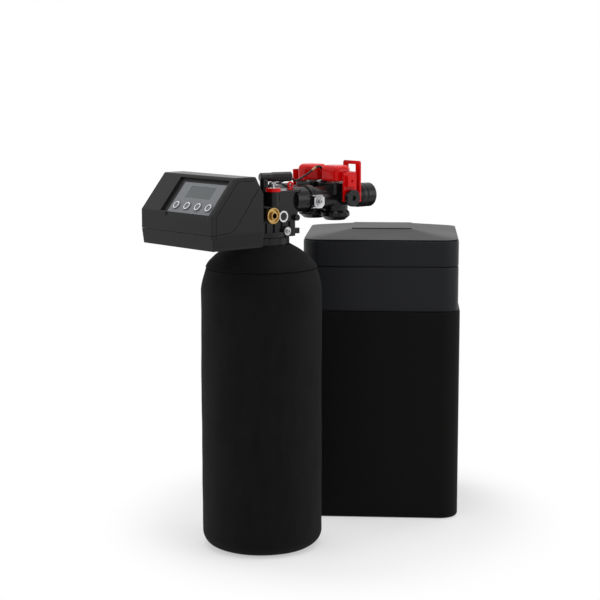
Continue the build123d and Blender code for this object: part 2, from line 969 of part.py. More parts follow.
def crease_line(gap):
    return [
        (-head_front - head_wall, head_parting + gap),
        (-crease_bend_back, crease_bend + gap),
        (-crease_low_back - gap / 2, crease_low + gap),
        (-crease_high_back - gap, crease_high + gap),
        (-head_back + head_wall, crease_high + gap + head_parting / 4),
    ]


def head_core():
    return side_slab(head_outline(head_wall, head_foot + head_wall), head_half_width - head_wall)


def head_block():
    solid = side_slab(head_outline(0, head_foot), head_half_width)
    long_edges = [edge for edge in solid.edges().filter_by(Axis.X)]
    return fillet(long_edges, head_corner_radius)


def upper_zone(gap):
    line = crease_line(gap)
    points = line + [(line[-1][0], head_top * 2), (line[0][0], head_top * 2)]
    return side_slab(points, head_half_width * 2)


def slope_plane(depth):
    run = head_front - head_slope_back
    rise = head_top - head_fold
    length = hypot(run, rise)
    outward = (0, -rise / length, run / length)
    origin = (0, -head_front + depth * rise / length, head_fold - depth * run / length)
    return Plane(origin=origin, x_dir=(1, 0, 0), z_dir=outward)


def slope_block(left, right, low, high, deep, thick):
    middle = Pos((left + right) / 2, (low + high) / 2, 0)
    return slope_plane(deep) * (middle * Box(right - left, high - low, thick, align=ON_FLOOR))


def slope_drum(right, high, radius, deep, thick):
    return slope_plane(deep) * (Pos(right, high, 0) * Cylinder(radius, thick, align=ON_FLOOR))


def button_places():
    return [button_first + button_pitch * step for step in range(4)]


def bead_grooves():
    outline = head_outline(bead_width, head_foot - head_wall)
    inner = head_outline(bead_width + groove_width, head_foot - head_wall)
    front = outline[:3] + [(outline[3][0], outline[3][1])]
    back = inner[:3] + [(inner[3][0], inner[3][1])]
    ring = side_slab(front + list(reversed(back)), head_half_width * 2)
    ring -= side_slab(head_outline(-head_wall, head_foot - head_wall), head_half_width - groove_depth)
    face = side_slab(head_outline(-head_wall, head_foot - head_wall), head_half_width * 2)
    face -= side_slab(head_outline(groove_depth, head_foot - head_wall * 2), head_half_width * 2)
    right = head_half_width - bead_inset
    strip = block(right - groove_width, right, -head_front * 2, -head_top_back, 0, head_top * 2)
    face &= strip + mirror(strip, Plane.YZ)
    return ring, face


def make_head_cover():
    cover = (head_block() & upper_zone(parting_gap / 2)) - head_core()
    tray = slope_block(recess_left - head_wall, recess_right + head_wall, recess_low - head_wall / 2,
                       recess_high + head_wall, recess_depth + head_wall, recess_depth + head_wall)
    cover += tray & (head_block() & upper_zone(parting_gap / 2))
    cover -= slope_block(recess_left, recess_right, recess_low, recess_high, recess_depth, recess_depth * 2)
    lip_low = head_fold - lip_height
    lip = [(-head_front - lip_depth, lip_low), (-head_front, lip_low),
           (-head_front + lip_depth, head_fold), (-head_front + lip_depth, head_fold + lip_height),
           (-head_front - lip_depth, head_fold + lip_height)]
    lip_wide = (overlay_right - overlay_left) / 2
    lip_middle = (overlay_right + overlay_left) / 2
    cover -= Pos(lip_middle, 0, 0) * side_slab(lip, lip_wide)
    for right in button_places():
        cover -= slope_drum(right, button_line, button_stem_radius + seat_gap,
                            recess_depth + head_wall * 2, head_wall * 3)
    for groove in bead_grooves():
        cover -= groove
    deep = board_drop
    for right in (window_left, window_right):
        cover += slope_drum(right, button_line + button_radius, board_post_radius,
                            deep - seat_gap / 2, deep - recess_depth - head_wall / 2)
    return cover


def make_head_base():
    lower = side_slab(head_outline(0, head_foot), head_half_width)
    lower = fillet([edge for edge in lower.edges().filter_by(Axis.X)], head_corner_radius)
    lower -= upper_zone(-parting_gap / 2)
    wedge_front = [(-head_front - head_wall, head_foot - head_wall), (-head_front - head_wall, head_parting),
                   (-head_front, head_parting), (-head_front + head_draft, head_foot - head_wall)]
    lower -= side_slab(wedge_front, head_half_width * 2)
    wedge_side = [(head_half_width - head_draft, head_foot), (head_half_width, head_parting),
                  (head_half_width + head_wall, head_parting), (head_half_width + head_wall, head_foot)]
    side = extrude(Plane.XZ * make_face(Polyline(*wedge_side, close=True)), head_front * 2, both=True)
    lower -= side
    lower -= mirror(side, Plane.YZ)
    lower -= head_core()
    for groove in bead_grooves():
        lower -= groove
    opening = piston_plug_radius + seat_gap
    lower -= bar((0, -head_back * 2, piston_height), (0, 1, 0), opening, head_back * 2)
    gland = (lead_start_right, -head_back - head_wall * 4, lead_start_height)
    return lower - bar(gland, (0, 1, 0), gland_radius + running_gap, head_wall * 4)


def make_overlay():
    plate = slope_block(overlay_left, overlay_right, overlay_low, overlay_high,
                        recess_depth - seat_gap / 10, overlay_thickness)
    plate -= slope_block(window_left, window_right, window_low, window_high,
                         recess_depth, overlay_thickness * 2)
    for right in button_places():
        plate -= slope_drum(right, button_line, button_radius + seat_gap,
                            recess_depth, overlay_thickness * 2)
    return plate


def make_window():
    gap = seat_gap / 2
    return slope_block(window_left + gap, window_right - gap, window_low + gap, window_high - gap,
                       recess_depth - seat_gap / 10, window_thickness)


def make_button(step):
    right = button_places()[step]
    sunk = recess_depth - button_travel - seat_gap
    cap = slope_drum(right, button_line, button_radius, sunk, button_height)
    cap -= slope_drum(right, button_line, button_radius / 2,
                      sunk - button_height + groove_depth / 2, groove_depth)
    stem = slope_drum(right, button_line, button_stem_radius, sunk + button_stem_length, button_stem_length)
    return cap + stem


def make_board():
    low = recess_low + board_margin
    high = recess_high - board_margin
    board = slope_block(recess_left + board_margin, recess_right - board_margin, low, high,
                        board_drop + board_thickness, board_thickness)
    for step in (1, 2, 3):
        left = recess_left + board_margin * 2 + (board_chip_width + button_pitch) * (step - 1)
        board += slope_block(left, left + board_chip_width,
                             high - board_chip_width * 2, high - board_chip_width,
                             board_drop + board_thickness + board_chip_height, board_chip_height)
    return board


# Injector side
def make_red_ring():
    low = injector_top
    ring = tube(cap_ring_radius, stem_nut_radius, low + seat_gap / 10, low + cap_ring_height,
                injector_right, injector_back)
    return ring


def make_stem():
    rod = drum(stem_radius, injector_top - stem_drop + stem_travel, stem_top, injector_right, injector_back)
    low = stem_top - stem_nut_height
    nut = extrude(RegularPolygon(stem_nut_radius, 6), stem_nut_height)
    nut = Pos(injector_right, injector_back, low) * nut
    collar = drum(stem_nut_radius - seat_gap * 2, injector_top + stem_travel + seat_gap,
                  injector_top + stem_travel + stem_nut_height, injector_right, injector_back)
    return rod + nut + collar


def make_fitting():
    start = (fitting_face, fitting_back, fitting_height)
    seat = (fitting_face - fitting_collar, fitting_back, fitting_height)
    nut = bar(seat, (1, 0, 0), fitting_radius, fitting_collar + fitting_lip)
    face = (fitting_face + fitting_lip, fitting_back, fitting_height)
    nut -= bar(face, (-1, 0, 0), fitting_radius - fitting_lip, fitting_lip)
    nut += bar(start, (1, 0, 0), fitting_bore_radius + fitting_lip, fitting_lip * 2)
    nut -= bar((fitting_face + fitting_lip * 2, fitting_back, fitting_height), (-1, 0, 0),
               fitting_bore_radius, fitting_bore_depth + fitting_lip)
    return nut


def make_fitting_plug():
    start = (plug_face - plug_lip, plug_back, plug_height)
    ring = bar(start, (1, 0, 0), plug_radius, plug_lip * 2)
    ring -= bar((plug_face + plug_lip, plug_back, plug_height), (-1, 0, 0), plug_core_radius, plug_lip)
    return ring


def make_drain_elbow():
    riser = drum(elbow_leg_radius, body_top, elbow_height)
    smooth = elbow_radius - elbow_rib_depth
    start = -elbow_heel
    points = [(0, start), (smooth - elbow_round, start), (smooth, start + elbow_round)]
    ribs_start = elbow_reach - elbow_rib_pitch * elbow_rib_count
    points += [(smooth, ribs_start)]
    for step in range(elbow_rib_count):
        low = ribs_start + elbow_rib_pitch * step
        points += [(elbow_radius, low + elbow_rib_pitch / 4), (elbow_radius, low + elbow_rib_pitch * 3 / 4)]
        points += [(smooth, low + elbow_rib_pitch)]
    points += [(0, elbow_reach)]
    run = Pos(0, 0, elbow_height) * Rot(-quarter_turn, 0, 0) * turned_points(points)
    elbow = riser + run
    elbow -= bar((0, elbow_reach, elbow_height), (0, -1, 0), elbow_bore_radius, elbow_reach)
    elbow -= drum(elbow_leg_bore_radius, body_top, elbow_height)
    return Pos(elbow_right, -elbow_front, 0) * Rot(0, 0, -elbow_turn) * elbow


def make_drain_eye():
    foot = body_top
    reach = drain_eye_thickness / 2
    start = (elbow_right - reach, drain_eye_back, drain_eye_height)
    eye = bar(start, (1, 0, 0), drain_eye_radius, drain_eye_thickness)
    stalk = block(elbow_right - reach, elbow_right + reach, drain_eye_back - drain_eye_hole,
                  drain_eye_back + drain_eye_hole, foot, drain_eye_height)
    pad = block(elbow_right - reach * 2, elbow_right + reach * 2, drain_eye_back - drain_eye_radius,
                drain_eye_back + drain_eye_radius, foot, foot + reach)
    return eye + stalk + pad - bar(start, (1, 0, 0), drain_eye_hole, drain_eye_thickness)


def screw_on(origin, direction):
    place = Plane(origin=origin, z_dir=direction)
    washer = Cylinder(screw_washer_radius, screw_washer_height, align=ON_FLOOR)
    head = Pos(0, 0, screw_washer_height) * Cylinder(screw_head_radius, screw_head_height, align=ON_FLOOR)
    depth = screw_head_height * screw_socket_share
    top = screw_washer_height + screw_head_height
    socket = extrude(RegularPolygon(screw_head_radius * screw_socket_share, 6), depth)
    socket = Pos(0, 0, top - depth) * socket
    shank = Pos(0, 0, -screw_shank_length) * Cylinder(screw_shank_radius, screw_shank_length + seat_gap,
                                                       align=ON_FLOOR)
    return place * (washer + head - socket + shank)


def body_screw_pieces():
    reach = body_waist_half_width + side_boss_reach
    height = side_boss_height + side_boss_radius
    return [screw_on((side * reach, side_boss_back, height), (side, 0, 0)) for side in (-1, 1)]


# Bypass
def barrel_places():
    return [(side * port_pitch / 2, barrel_back) for side in (-1, 1)]


def make_bypass_body():
    body = None
    for right, back in barrel_places():
        barrel = drum(barrel_radius, barrel_foot, barrel_top, right, back)
        low = barrel_top - barrel_shoulder_drop
        half = barrel_shoulder_half_width
        shoulder = block(right - half, right + half, back - half, back + half, low, barrel_top)
        barrel += fillet(vertical_edges(shoulder), barrel_shoulder_corner)
        front = port_flange_face + seat_gap
        neck = bar((right, front, port_height), (0, 1, 0), bypass_neck_radius, back - front)
        lip = bar((right, front, port_height), (0, 1, 0), port_flange_radius, port_flange_thickness)
        rear = bar((right, back, port_height), (0, 1, 0), rear_port_radius, rear_port_end - back)
        rim_start = (right, rear_port_end - rear_flange_thickness, port_height)
        rear += bar(rim_start, (0, 1, 0), rear_flange_radius, rear_flange_thickness)
        side = 1 if right > 0 else -1
        branch = bar((right, back, port_height), (side, 0, 0), side_port_radius,
                     side_port_face - port_pitch / 2)
        rim = bar((side * (side_port_face - side_port_rim), back, port_height), (side, 0, 0),
                  side_port_rim_radius, side_port_rim)
        piece = barrel + neck + lip + rear + branch + rim
        boss_start = (side * (port_pitch / 2), retainer_line, port_height - retainer_drop)
        piece += bar(boss_start, (side, 0, 0), retainer_boss_radius,
                     port_flange_radius + retainer_boss_reach)
        body = piece if body is None else body + piece
    near = port_flange_face + seat_gap
    body -= block(-side_port_face, side_port_face, 0, near, 0, barrel_top)
    body += bar((-port_pitch / 2, barrel_back, port_height), (1, 0, 0), bridge_radius, port_pitch)
    body += drum(socket_radius, port_height, socket_top, 0, boot_line)
    return cut_bypass(body)


def cut_bypass(body):
    for right, back in barrel_places():
        side = 1 if right > 0 else -1
        body -= drum(barrel_bore_radius, barrel_foot, barrel_top, right, back)
        front = port_flange_face + seat_gap
        body -= bar((right, front, port_height), (0, 1, 0), port_bore_radius, coupler_half_length + seat_gap)
        body -= bar((right, front, port_height), (0, 1, 0), rotor_port_radius, back - front)
        body -= bar((right, rear_port_end, port_height), (0, -1, 0), rotor_port_radius, rear_port_end - back)
        plug = (side * side_port_face, back, port_height)
        body -= bar(plug, (-side, 0, 0), side_port_bore_radius, side_plug_depth + seat_gap)
        screw = (side * (port_pitch / 2 + port_flange_radius + retainer_boss_reach), retainer_line,
                 port_height - retainer_drop)
        body -= bar(screw, (-side, 0, 0), screw_shank_radius + running_gap, screw_shank_length + seat_gap)
        body -= clip_shape(side, seat_gap)
        body -= side_clip_shape(side, seat_gap)
    body -= drum(socket_bore_radius, socket_top - boot_depth - seat_gap, socket_top, 0, boot_line)
    return body


def make_rotor(side):
    right = side * port_pitch / 2
    radius = barrel_bore_radius - rotor_clearance
    rotor = drum(radius, barrel_foot + seat_gap, barrel_top - seat_gap, right, barrel_back)
    rotor += drum(rotor_stem_radius, barrel_top - seat_gap, barrel_top + rotor_stem_rise, right, barrel_back)
    rotor -= bar((right, barrel_back - radius, port_height), (0, 1, 0), rotor_port_radius, radius * 2)
    return rotor


def knob_outline():
    right_side = [(knob_heel_half_width, -knob_heel), (knob_shoulder_half_width, knob_shoulder),
                  (knob_nose_half_width, knob_nose)]
    left_side = [(-right, back) for right, back in reversed(right_side)]
    return make_face(Polyline(*right_side, *left_side, close=True))


def make_knob(side):
    right = side * port_pitch / 2
    low = barrel_top + knob_lift
    outline = knob_outline()
    knob = extrude(fillet(outline.vertices(), knob_corner_radius), knob_height)
    knob = fillet(knob.faces().sort_by(Axis.Z)[-1].edges(), knob_round)
    turn = 0 if side > 0 else half_turn
    knob = Pos(right, barrel_back, low) * Rot(0, 0, turn) * knob
    socket = rotor_stem_radius + seat_gap / 10
    return knob - drum(socket, low, barrel_top + rotor_stem_rise + seat_gap, right, barrel_back)


def make_barrel_caps():
    points = [(0, cap_foot), (cap_foot_radius, cap_foot), (cap_radius, cap_waist)]
    points += [(cap_radius, cap_waist + cap_band), (barrel_radius, barrel_foot), (0, barrel_foot)]
    cap = turned_points(points)
    for step in range(cap_grips):
        grip = drum(cap_grip_radius, cap_foot, barrel_foot, cap_radius + cap_grip_radius / 2)
        cap -= Rot(0, 0, full_turn * step / cap_grips) * grip
    return group(Pos(right, back, 0) * cap for right, back in barrel_places())


def make_side_plugs():
    plugs = []
    for side in (-1, 1):
        radius = side_port_bore_radius - running_gap
        face = (side * side_port_face, barrel_back, port_height)
        plug = bar(face, (-side, 0, 0), radius, side_plug_depth)
        plug -= bar(face, (-side, 0, 0), side_plug_recess_radius, side_plug_recess)
        plugs.append(plug)
    return group(plugs)


def clip_top(side):
    return port_height + (clip_rise if side > 0 else short_clip_rise)


def clip_shape(side, gap):
    half = clip_thickness / 2 + gap
    front = clip_line - half
    back = clip_line + half
    top = clip_top(side)
    plate = block(-clip_half_width - gap, clip_half_width + gap, front, back, clip_foot - gap, top + gap)
    upper = [edge for edge in plate.edges().filter_by(Axis.Y) if edge.center().Z > port_height]
    plate = fillet(upper, clip_corner_radius)
    if side > 0:
        window_top = top - clip_window_inset
        plate -= block(-clip_window_half_width + gap, clip_window_half_width - gap, front, back,
                       window_top - clip_window_height + gap, window_top - gap)
    leg = clip_half_width - clip_leg
    plate -= block(-leg + gap, leg - gap, front, back, clip_foot - gap, port_height)
    throat = leg - gap
    plate -= bar((0, front, port_height), (0, 1, 0), throat, clip_thickness + gap * 2)
    for level in (0, 1):
        low = clip_slot_low + clip_slot_step * level
        for centre in (-clip_slot_side, clip_slot_side):
            plate -= block(centre - clip_slot_half_width, centre + clip_slot_half_width, front, back,
                           low, low + clip_slot_height)
    return Pos(side * port_pitch / 2, 0, 0) * plate


def side_clip_shape(side, gap):
    half = side_clip_thickness / 2 + gap
    plate = block(side_clip_line - half, side_clip_line + half, -side_clip_half_width - gap,
                  side_clip_half_width + gap, side_clip_foot - gap, side_clip_top + gap)
    leg = side_clip_half_width - side_clip_leg
    plate -= block(side_clip_line - half, side_clip_line + half, -leg + gap, leg - gap,
                   side_clip_foot - gap, port_height)
    plate -= bar((side_clip_line - half, 0, port_height), (1, 0, 0), leg - gap, half * 2)
    if gap == 0:
        tab_top = side_clip_top - side_clip_tab_drop
        plate += block(side_clip_line + half, side_clip_line + half + side_clip_tab,
                       -side_clip_tab_half_width, side_clip_tab_half_width,
                       tab_top - side_clip_tab_height, tab_top)
        plate -= bar((side_clip_line, 0, tab_top - side_clip_tab_height / 2), (1, 0, 0),
                     side_clip_eye_radius, side_clip_tab * 2)
    placed = Pos(0, barrel_back, 0) * plate
    return placed if side > 0 else mirror(placed, Plane.YZ)


def make_side_clips():
    return group(side_clip_shape(side, 0) for side in (-1, 1))


def make_adapters():
    start = rear_port_end + seat_gap
    points = [(adapter_bore_radius, start), (adapter_radius - adapter_groove, start)]
    points += [(adapter_radius - adapter_groove, start + adapter_groove)]
    points += [(adapter_radius, start + adapter_groove * 2), (adapter_radius, start + adapter_collar)]
    points += [(adapter_radius - adapter_groove, start + adapter_collar + adapter_groove)]
    points += [(adapter_radius - adapter_groove, start + adapter_collar + adapter_groove * 2)]
    points += [(adapter_radius, start + adapter_collar + adapter_groove * 3)]
    points += [(adapter_radius, adapter_end - adapter_round)]
    points += [(adapter_radius - adapter_round, adapter_end), (adapter_bore_radius, adapter_end)]
    adapter = Rot(-quarter_turn, 0, 0) * turned_points(points)
    tail = bar((0, start - rear_flange_thickness * 2, 0), (0, 1, 0), rotor_port_radius - running_gap,
               rear_flange_thickness * 2)
    tail += bar((0, start, 0), (0, 1, 0), adapter_bore_radius, adapter_groove)
    tail -= bar((0, start - rear_flange_thickness * 3, 0), (0, 1, 0), rotor_port_radius - coupler_wall,
                rear_flange_thickness * 4)
    adapter += tail
    return group(Pos(right, 0, port_height) * adapter for right, back in barrel_places())


# Couplers, retainers and meter
def make_couplers():
    middle = port_flange_face + seat_gap / 2
    points = [(coupler_radius - coupler_wall, -coupler_half_length), (coupler_radius, -coupler_half_length)]
    half = coupler_half_length / 2
    for line in (-half, half):
        floor = coupler_radius - coupler_groove
        points += [(coupler_radius, line - coupler_groove), (floor, line - coupler_groove)]
        points += [(floor, line + coupler_groove), (coupler_radius, line + coupler_groove)]
    points += [(coupler_radius, coupler_half_length), (coupler_radius - coupler_wall, coupler_half_length)]
    coupler = Rot(-quarter_turn, 0, 0) * turned_points(points)
    pieces = [Pos(right, middle, port_height) * coupler for right, back in barrel_places()]
    inside = coupler_radius - coupler_wall
    line = turbine_line + turbine_length / 2 + turbine_bar_thickness
    bar_across = block(port_pitch / 2 - inside - running_gap, port_pitch / 2 + inside + running_gap,
                       line, line + turbine_bar_thickness, port_height - turbine_bar_height / 2,
                       port_height + turbine_bar_height / 2)
    pin = bar((port_pitch / 2, line, port_height), (0, -1, 0), turbine_pin_radius,
              turbine_length + turbine_bar_thickness)
    pieces[1] = pieces[1] + bar_across + pin
    return group(pieces)


def coupler_ring_pieces():
    middle = port_flange_face + seat_gap / 2
    rings = []
    for right, back in barrel_places():
        for line in (-coupler_half_length / 2, coupler_half_length / 2):
            ring = tube(coupler_radius - running_gap / 2, coupler_radius - coupler_groove + running_gap,
                        -ring_section, ring_section)
            rings.append(Pos(right, middle + line, port_height) * Rot(quarter_turn, 0, 0) * ring)
    return rings


def make_retainers():
    half = retainer_width / 2
    cut = retainer_cut
    outline = [(-half, -half + cut), (-half + cut, -half), (half - cut, -half), (half, -half + cut),
               (half, half - cut), (half - cut, half), (-half + cut, half), (-half, half - cut)]
    face = port_pitch / 2 + port_flange_radius + retainer_boss_reach
    height = port_height - retainer_drop
    plate = extrude(make_face(Polyline(*outline, close=True)), retainer_thickness)
    plate -= Cylinder(screw_shank_radius + seat_gap, retainer_thickness * 4)
    place = Plane(origin=(face, retainer_line, height), x_dir=(0, 1, 0), z_dir=(1, 0, 0))
    plate = place * plate
    for spread in (-retainer_leg_half_spread, retainer_leg_half_spread):
        leg_start = (face + retainer_thickness / 2, retainer_line - half / 2, height + spread)
        plate += bar(leg_start, (0, -1, 0), retainer_leg_radius, retainer_leg_length)
        hook_line = retainer_line - half / 2 - retainer_leg_length
        hook_start = (face + retainer_thickness / 2, hook_line, height + spread)
        plate += Pos(*hook_start) * Sphere(retainer_leg_radius)
        plate += bar(hook_start, (-1, 0, 0), retainer_leg_radius, retainer_hook)
    return group(both_sides(plate))


def retainer_screw_pieces():
    face = port_pitch / 2 + port_flange_radius + retainer_boss_reach + retainer_thickness
    height = port_height - retainer_drop
    return [screw_on((side * face, retainer_line, height), (side, 0, 0)) for side in (-1, 1)]


def make_turbine():
    hub = Cylinder(turbine_hub_radius, turbine_length, align=IN_MIDDLE)
    for step in range(turbine_blades):
        blade = Pos((turbine_radius + turbine_pin_radius) / 2, 0, 0) * Rot(quarter_turn / 3, 0, 0) * Box(
            turbine_radius - turbine_pin_radius, turbine_blade_thickness, turbine_length)
        hub += Rot(0, 0, full_turn * step / turbine_blades) * blade
    hub &= Cylinder(turbine_radius, turbine_length, align=IN_MIDDLE)
    hub -= Cylinder(turbine_pin_radius + running_gap, turbine_length * 2, align=IN_MIDDLE)
    return Pos(port_pitch / 2, turbine_line, port_height) * Rot(quarter_turn, 0, 0) * hub


def boot_path():
    start = (0, boot_line, socket_top - boot_depth)
    rise = (0, boot_line, socket_top + boot_depth)
    crest = (0, boot_crest_line, boot_rise)
    end = (boot_tip_right, boot_tip_back, boot_tip_height)
    return start, rise, crest, end


def make_boot():
    start, rise, crest, end = boot_path()
    path = Spline(start, rise, crest, end, tangents=[(0, 0, 1), boot_tip_direction])
    return sweep(Plane(origin=start, z_dir=(0, 0, 1)) * Circle(boot_radius), path=path)


def lead_path():
    return [
        (lead_start_right, -head_back - gland_inset, lead_start_height),
        (lead_start_right, lead_low_line, lead_start_height),
        (lead_rise_right, lead_rise_line, lead_rise_height),
        (lead_rise_right, lead_crest_line, lead_crest_height),
        (lead_bend_right, lead_bend_line, lead_bend_height),
        (boot_tip_right, boot_tip_back, boot_tip_height),
    ]


def make_lead():
    path = Spline(*lead_path(), tangents=[(0, 1, 0), lead_tip_direction])
    start = lead_path()[0]
    return sweep(Plane(origin=start, z_dir=(0, 1, 0)) * Circle(lead_radius), path=path)


def make_gland():
    start = (lead_start_right, -head_back - gland_inset, lead_start_height)
    nut = bar(start, (0, 1, 0), gland_radius, gland_length)
    return nut - bar(start, (0, 1, 0), lead_radius + running_gap, gland_length)


# Brine cabinet
def cabinet_block(inset, corner_inset, low, high):
    width = cabinet_width - inset * 2
    depth = cabinet_depth - inset * 2
    return rounded_block(width, depth, cabinet_corner_radius - corner_inset, low, high)


def well_centre():
    inside = cabinet_wall + collar_step + well_margin + well_radius
    return -cabinet_width / 2 + inside, cabinet_depth / 2 - inside


def make_cabinet():
    body = cabinet_block(0, 0, 0, cabinet_height)
    body = fillet(body.faces().sort_by(Axis.Z)[0].edges(), cabinet_foot_radius)
    body = fillet(body.faces().sort_by(Axis.Z)[-1].edges(), cabinet_shoulder_radius)
    body -= cabinet_block(cabinet_wall, cabinet_wall, cabinet_floor, cabinet_height - cabinet_wall)
    inset = collar_step + cabinet_wall
    body -= cabinet_block(inset, inset, cabinet_floor, cabinet_height)
    place = (-cabinet_width / 2, cabinet_depth * overflow_side_share, overflow_height)
    body -= bar(place, (1, 0, 0), overflow_radius + seat_gap, cabinet_wall * 2)
    return body


def make_cabinet_collar():
    low = cabinet_height + seam_gap
    ring = cabinet_block(collar_step, collar_step, low, cabinet_collar_top)
    edges = ring.faces().sort_by(Axis.Z)[-1].edges()
    ring = fillet(edges, cabinet_shoulder_radius)
    inset = collar_step + cabinet_wall
    ring -= cabinet_block(inset, inset, low, cabinet_collar_top)
    spigot_inset = inset + seat_gap
    spigot = cabinet_block(spigot_inset, spigot_inset, low - collar_spigot, low + cabinet_wall)
    spigot -= cabinet_block(spigot_inset + cabinet_wall, spigot_inset + cabinet_wall,
                            low - collar_spigot, low + cabinet_wall)
    ledge = cabinet_block(inset - seat_gap, inset - seat_gap, low, low + cabinet_wall)
    ledge -= cabinet_block(spigot_inset + cabinet_wall, spigot_inset + cabinet_wall, low, low + cabinet_wall)
    foot = cabinet_block(collar_step + cabinet_wall - seat_gap, collar_step + cabinet_wall - seat_gap,
                         cabinet_height, low)
    foot -= cabinet_block(spigot_inset + cabinet_wall, spigot_inset + cabinet_wall, cabinet_height, low)
    foot &= cabinet_block(collar_step, collar_step, cabinet_height, low)
    rest = cabinet_block(collar_step + cabinet_wall / 2, collar_step + cabinet_wall / 2, cabinet_height, low)
    rest -= cabinet_block(spigot_inset + cabinet_wall, spigot_inset + cabinet_wall, cabinet_height, low)
    ring += spigot + ledge + rest
    left = -cabinet_width / 2
    hole = bar((left, cabinet_depth * overflow_side_share, line_hole_height), (1, 0, 0),
               line_hole_radius, cabinet_wall * 4)
    return ring - hole


def make_lid():
    inset = collar_step
    skirt = cabinet_block(inset, inset, lid_foot, lid_rim_top - lid_groove)
    groove = cabinet_block(inset + lid_groove_depth, inset + lid_groove_depth,
                           lid_rim_top - lid_groove * 2, lid_rim_top)
    brim_low = lid_rim_top
    lower = Pos(0, 0, brim_low) * RectangleRounded(
        cabinet_width - inset * 2 - lid_brim, cabinet_depth - inset * 2 - lid_brim,
        cabinet_corner_radius - inset - lid_brim / 2)
    upper = Pos(0, 0, lid_roof_top) * RectangleRounded(lid_plateau_width, lid_plateau_depth, lid_brim)
    roof = loft([lower, upper], ruled=True)
    plateau = rounded_block(lid_plateau_width - lid_brim, lid_plateau_depth - lid_brim, lid_brim,
                            lid_roof_top, lid_roof_top + lid_plateau_step)
    hollow_inset = inset + lid_wall
    hollow = cabinet_block(hollow_inset, hollow_inset, lid_foot, lid_rim_top - lid_top_thickness)
    lid = skirt + groove + roof + plateau - hollow
    spigot_inset = inset + cabinet_wall + seat_gap
    tongue = cabinet_block(spigot_inset, spigot_inset, lid_foot - collar_rim, lid_foot + collar_rim)
    inner = spigot_inset + lid_wall
    tongue += cabinet_block(inset, inset, lid_foot, lid_foot + collar_rim)
    tongue -= cabinet_block(inner, inner, lid_foot - collar_rim, lid_foot + collar_rim)
    return lid + tongue


def make_well():
    right, back = well_centre()
    well = tube(well_radius, well_radius - well_wall, cabinet_floor, well_top, right, back)
    for step in range(well_slot_count):
        slot = block(0, well_radius * 2, -well_slot_width / 2, well_slot_width / 2,
                     cabinet_floor + well_slot_low, cabinet_floor + well_slot_low + well_slot_height)
        well -= Pos(right, back, 0) * Rot(0, 0, full_turn * step / well_slot_count) * slot
    hole = bar((right - well_radius * 2, cabinet_depth * overflow_side_share, line_hole_height), (1, 0, 0),
               line_hole_radius, well_radius * 2)
    return well - hole


def make_well_cap():
    right, back = well_centre()
    cap = drum(well_cap_radius, well_top - well_cap_height / 2, well_top + well_wall, right, back)
    cap -= drum(well_radius + seat_gap, well_top - well_cap_height / 2, well_top, right, back)
    knob_foot = well_top + well_wall
    return cap + drum(well_cap_knob_radius, knob_foot, knob_foot + well_cap_knob_height, right, back)


def make_grid():
    inset = cabinet_wall + grid_margin
    grid = cabinet_block(inset, inset, grid_height, grid_height + grid_thickness)
    right, back = well_centre()
    grid -= drum(well_radius + seat_gap, grid_height, grid_height + grid_thickness, right, back)
    for side in (-1, 1):
        for row in range(grid_slot_rows):
            left = side * grid_slot_length / 2 * 1.5
            front = -cabinet_depth / 2 + grid_leg_inset + grid_slot_pitch * row
            slot = block(left - grid_slot_length / 2, left + grid_slot_length / 2, front,
                         front + grid_slot_width, grid_height, grid_height + grid_thickness)
            grid -= slot
    reach = cabinet_width / 2 - grid_leg_inset
    for leg_right, leg_back in ((-reach, -reach), (reach, -reach), (reach, reach)):
        grid += drum(grid_leg_radius, cabinet_floor, grid_height, leg_right, leg_back)
    return grid


def make_pickup():
    right, back = well_centre()
    side = right - float_right
    tube_part = tube(pickup_radius, pickup_radius - pickup_wall, pickup_foot, pickup_top, side, back)
    cage = drum(pickup_cage_radius, cabinet_floor, pickup_foot, side, back)
    cage += drum(pickup_cage_radius, pickup_foot, pickup_foot + pickup_cage_height, side, back)
    cage -= drum(pickup_radius - pickup_wall, pickup_foot, pickup_foot + pickup_cage_height, side, back)
    arm_start = (side, back, pickup_top - pickup_arm_radius * 2)
    arm = bar(arm_start, (1, 0, 0), pickup_arm_radius, float_right * 2)
    arm -= bar(arm_start, (0, 0, 1), pickup_radius - pickup_wall, pickup_arm_radius)
    guide = tube(float_guide_radius, float_rod_radius + seat_gap, pickup_top - pickup_arm_radius * 2,
                 pickup_top - pickup_arm_radius * 2 + float_guide_thickness, right + float_right, back)
    guide_hole = drum(float_rod_radius + seat_gap, pickup_top / 2, pickup_top * 2, right + float_right, back)
    return tube_part + cage + arm + guide - guide_hole


def make_float():
    right, back = well_centre()
    place = right + float_right
    rod = drum(float_rod_radius, cabinet_floor, float_rod_top, place, back)
    body = drum(float_radius, float_low, float_low + float_height, place, back)
    body = fillet(body.edges().sort_by(Axis.Z)[-1], float_rod_radius)
    return rod + body


def make_overflow():
    wall = cabinet_width / 2
    start = (wall - cabinet_wall - overflow_nut_thickness, cabinet_depth * overflow_side_share,
             overflow_height)
    length = overflow_nut_thickness + cabinet_wall + overflow_reach
    outlet = bar(start, (1, 0, 0), overflow_radius, length)
    outlet += Plane(origin=start, z_dir=(1, 0, 0)) * extrude(
        RegularPolygon(overflow_nut_radius, overflow_nut_sides), overflow_nut_thickness)
    outlet += bar((wall, start[1], start[2]), (1, 0, 0), overflow_nut_radius, overflow_nut_thickness / 2)
    outlet -= bar(start, (1, 0, 0), overflow_bore_radius, length)
    return mirror(outlet, Plane.YZ)


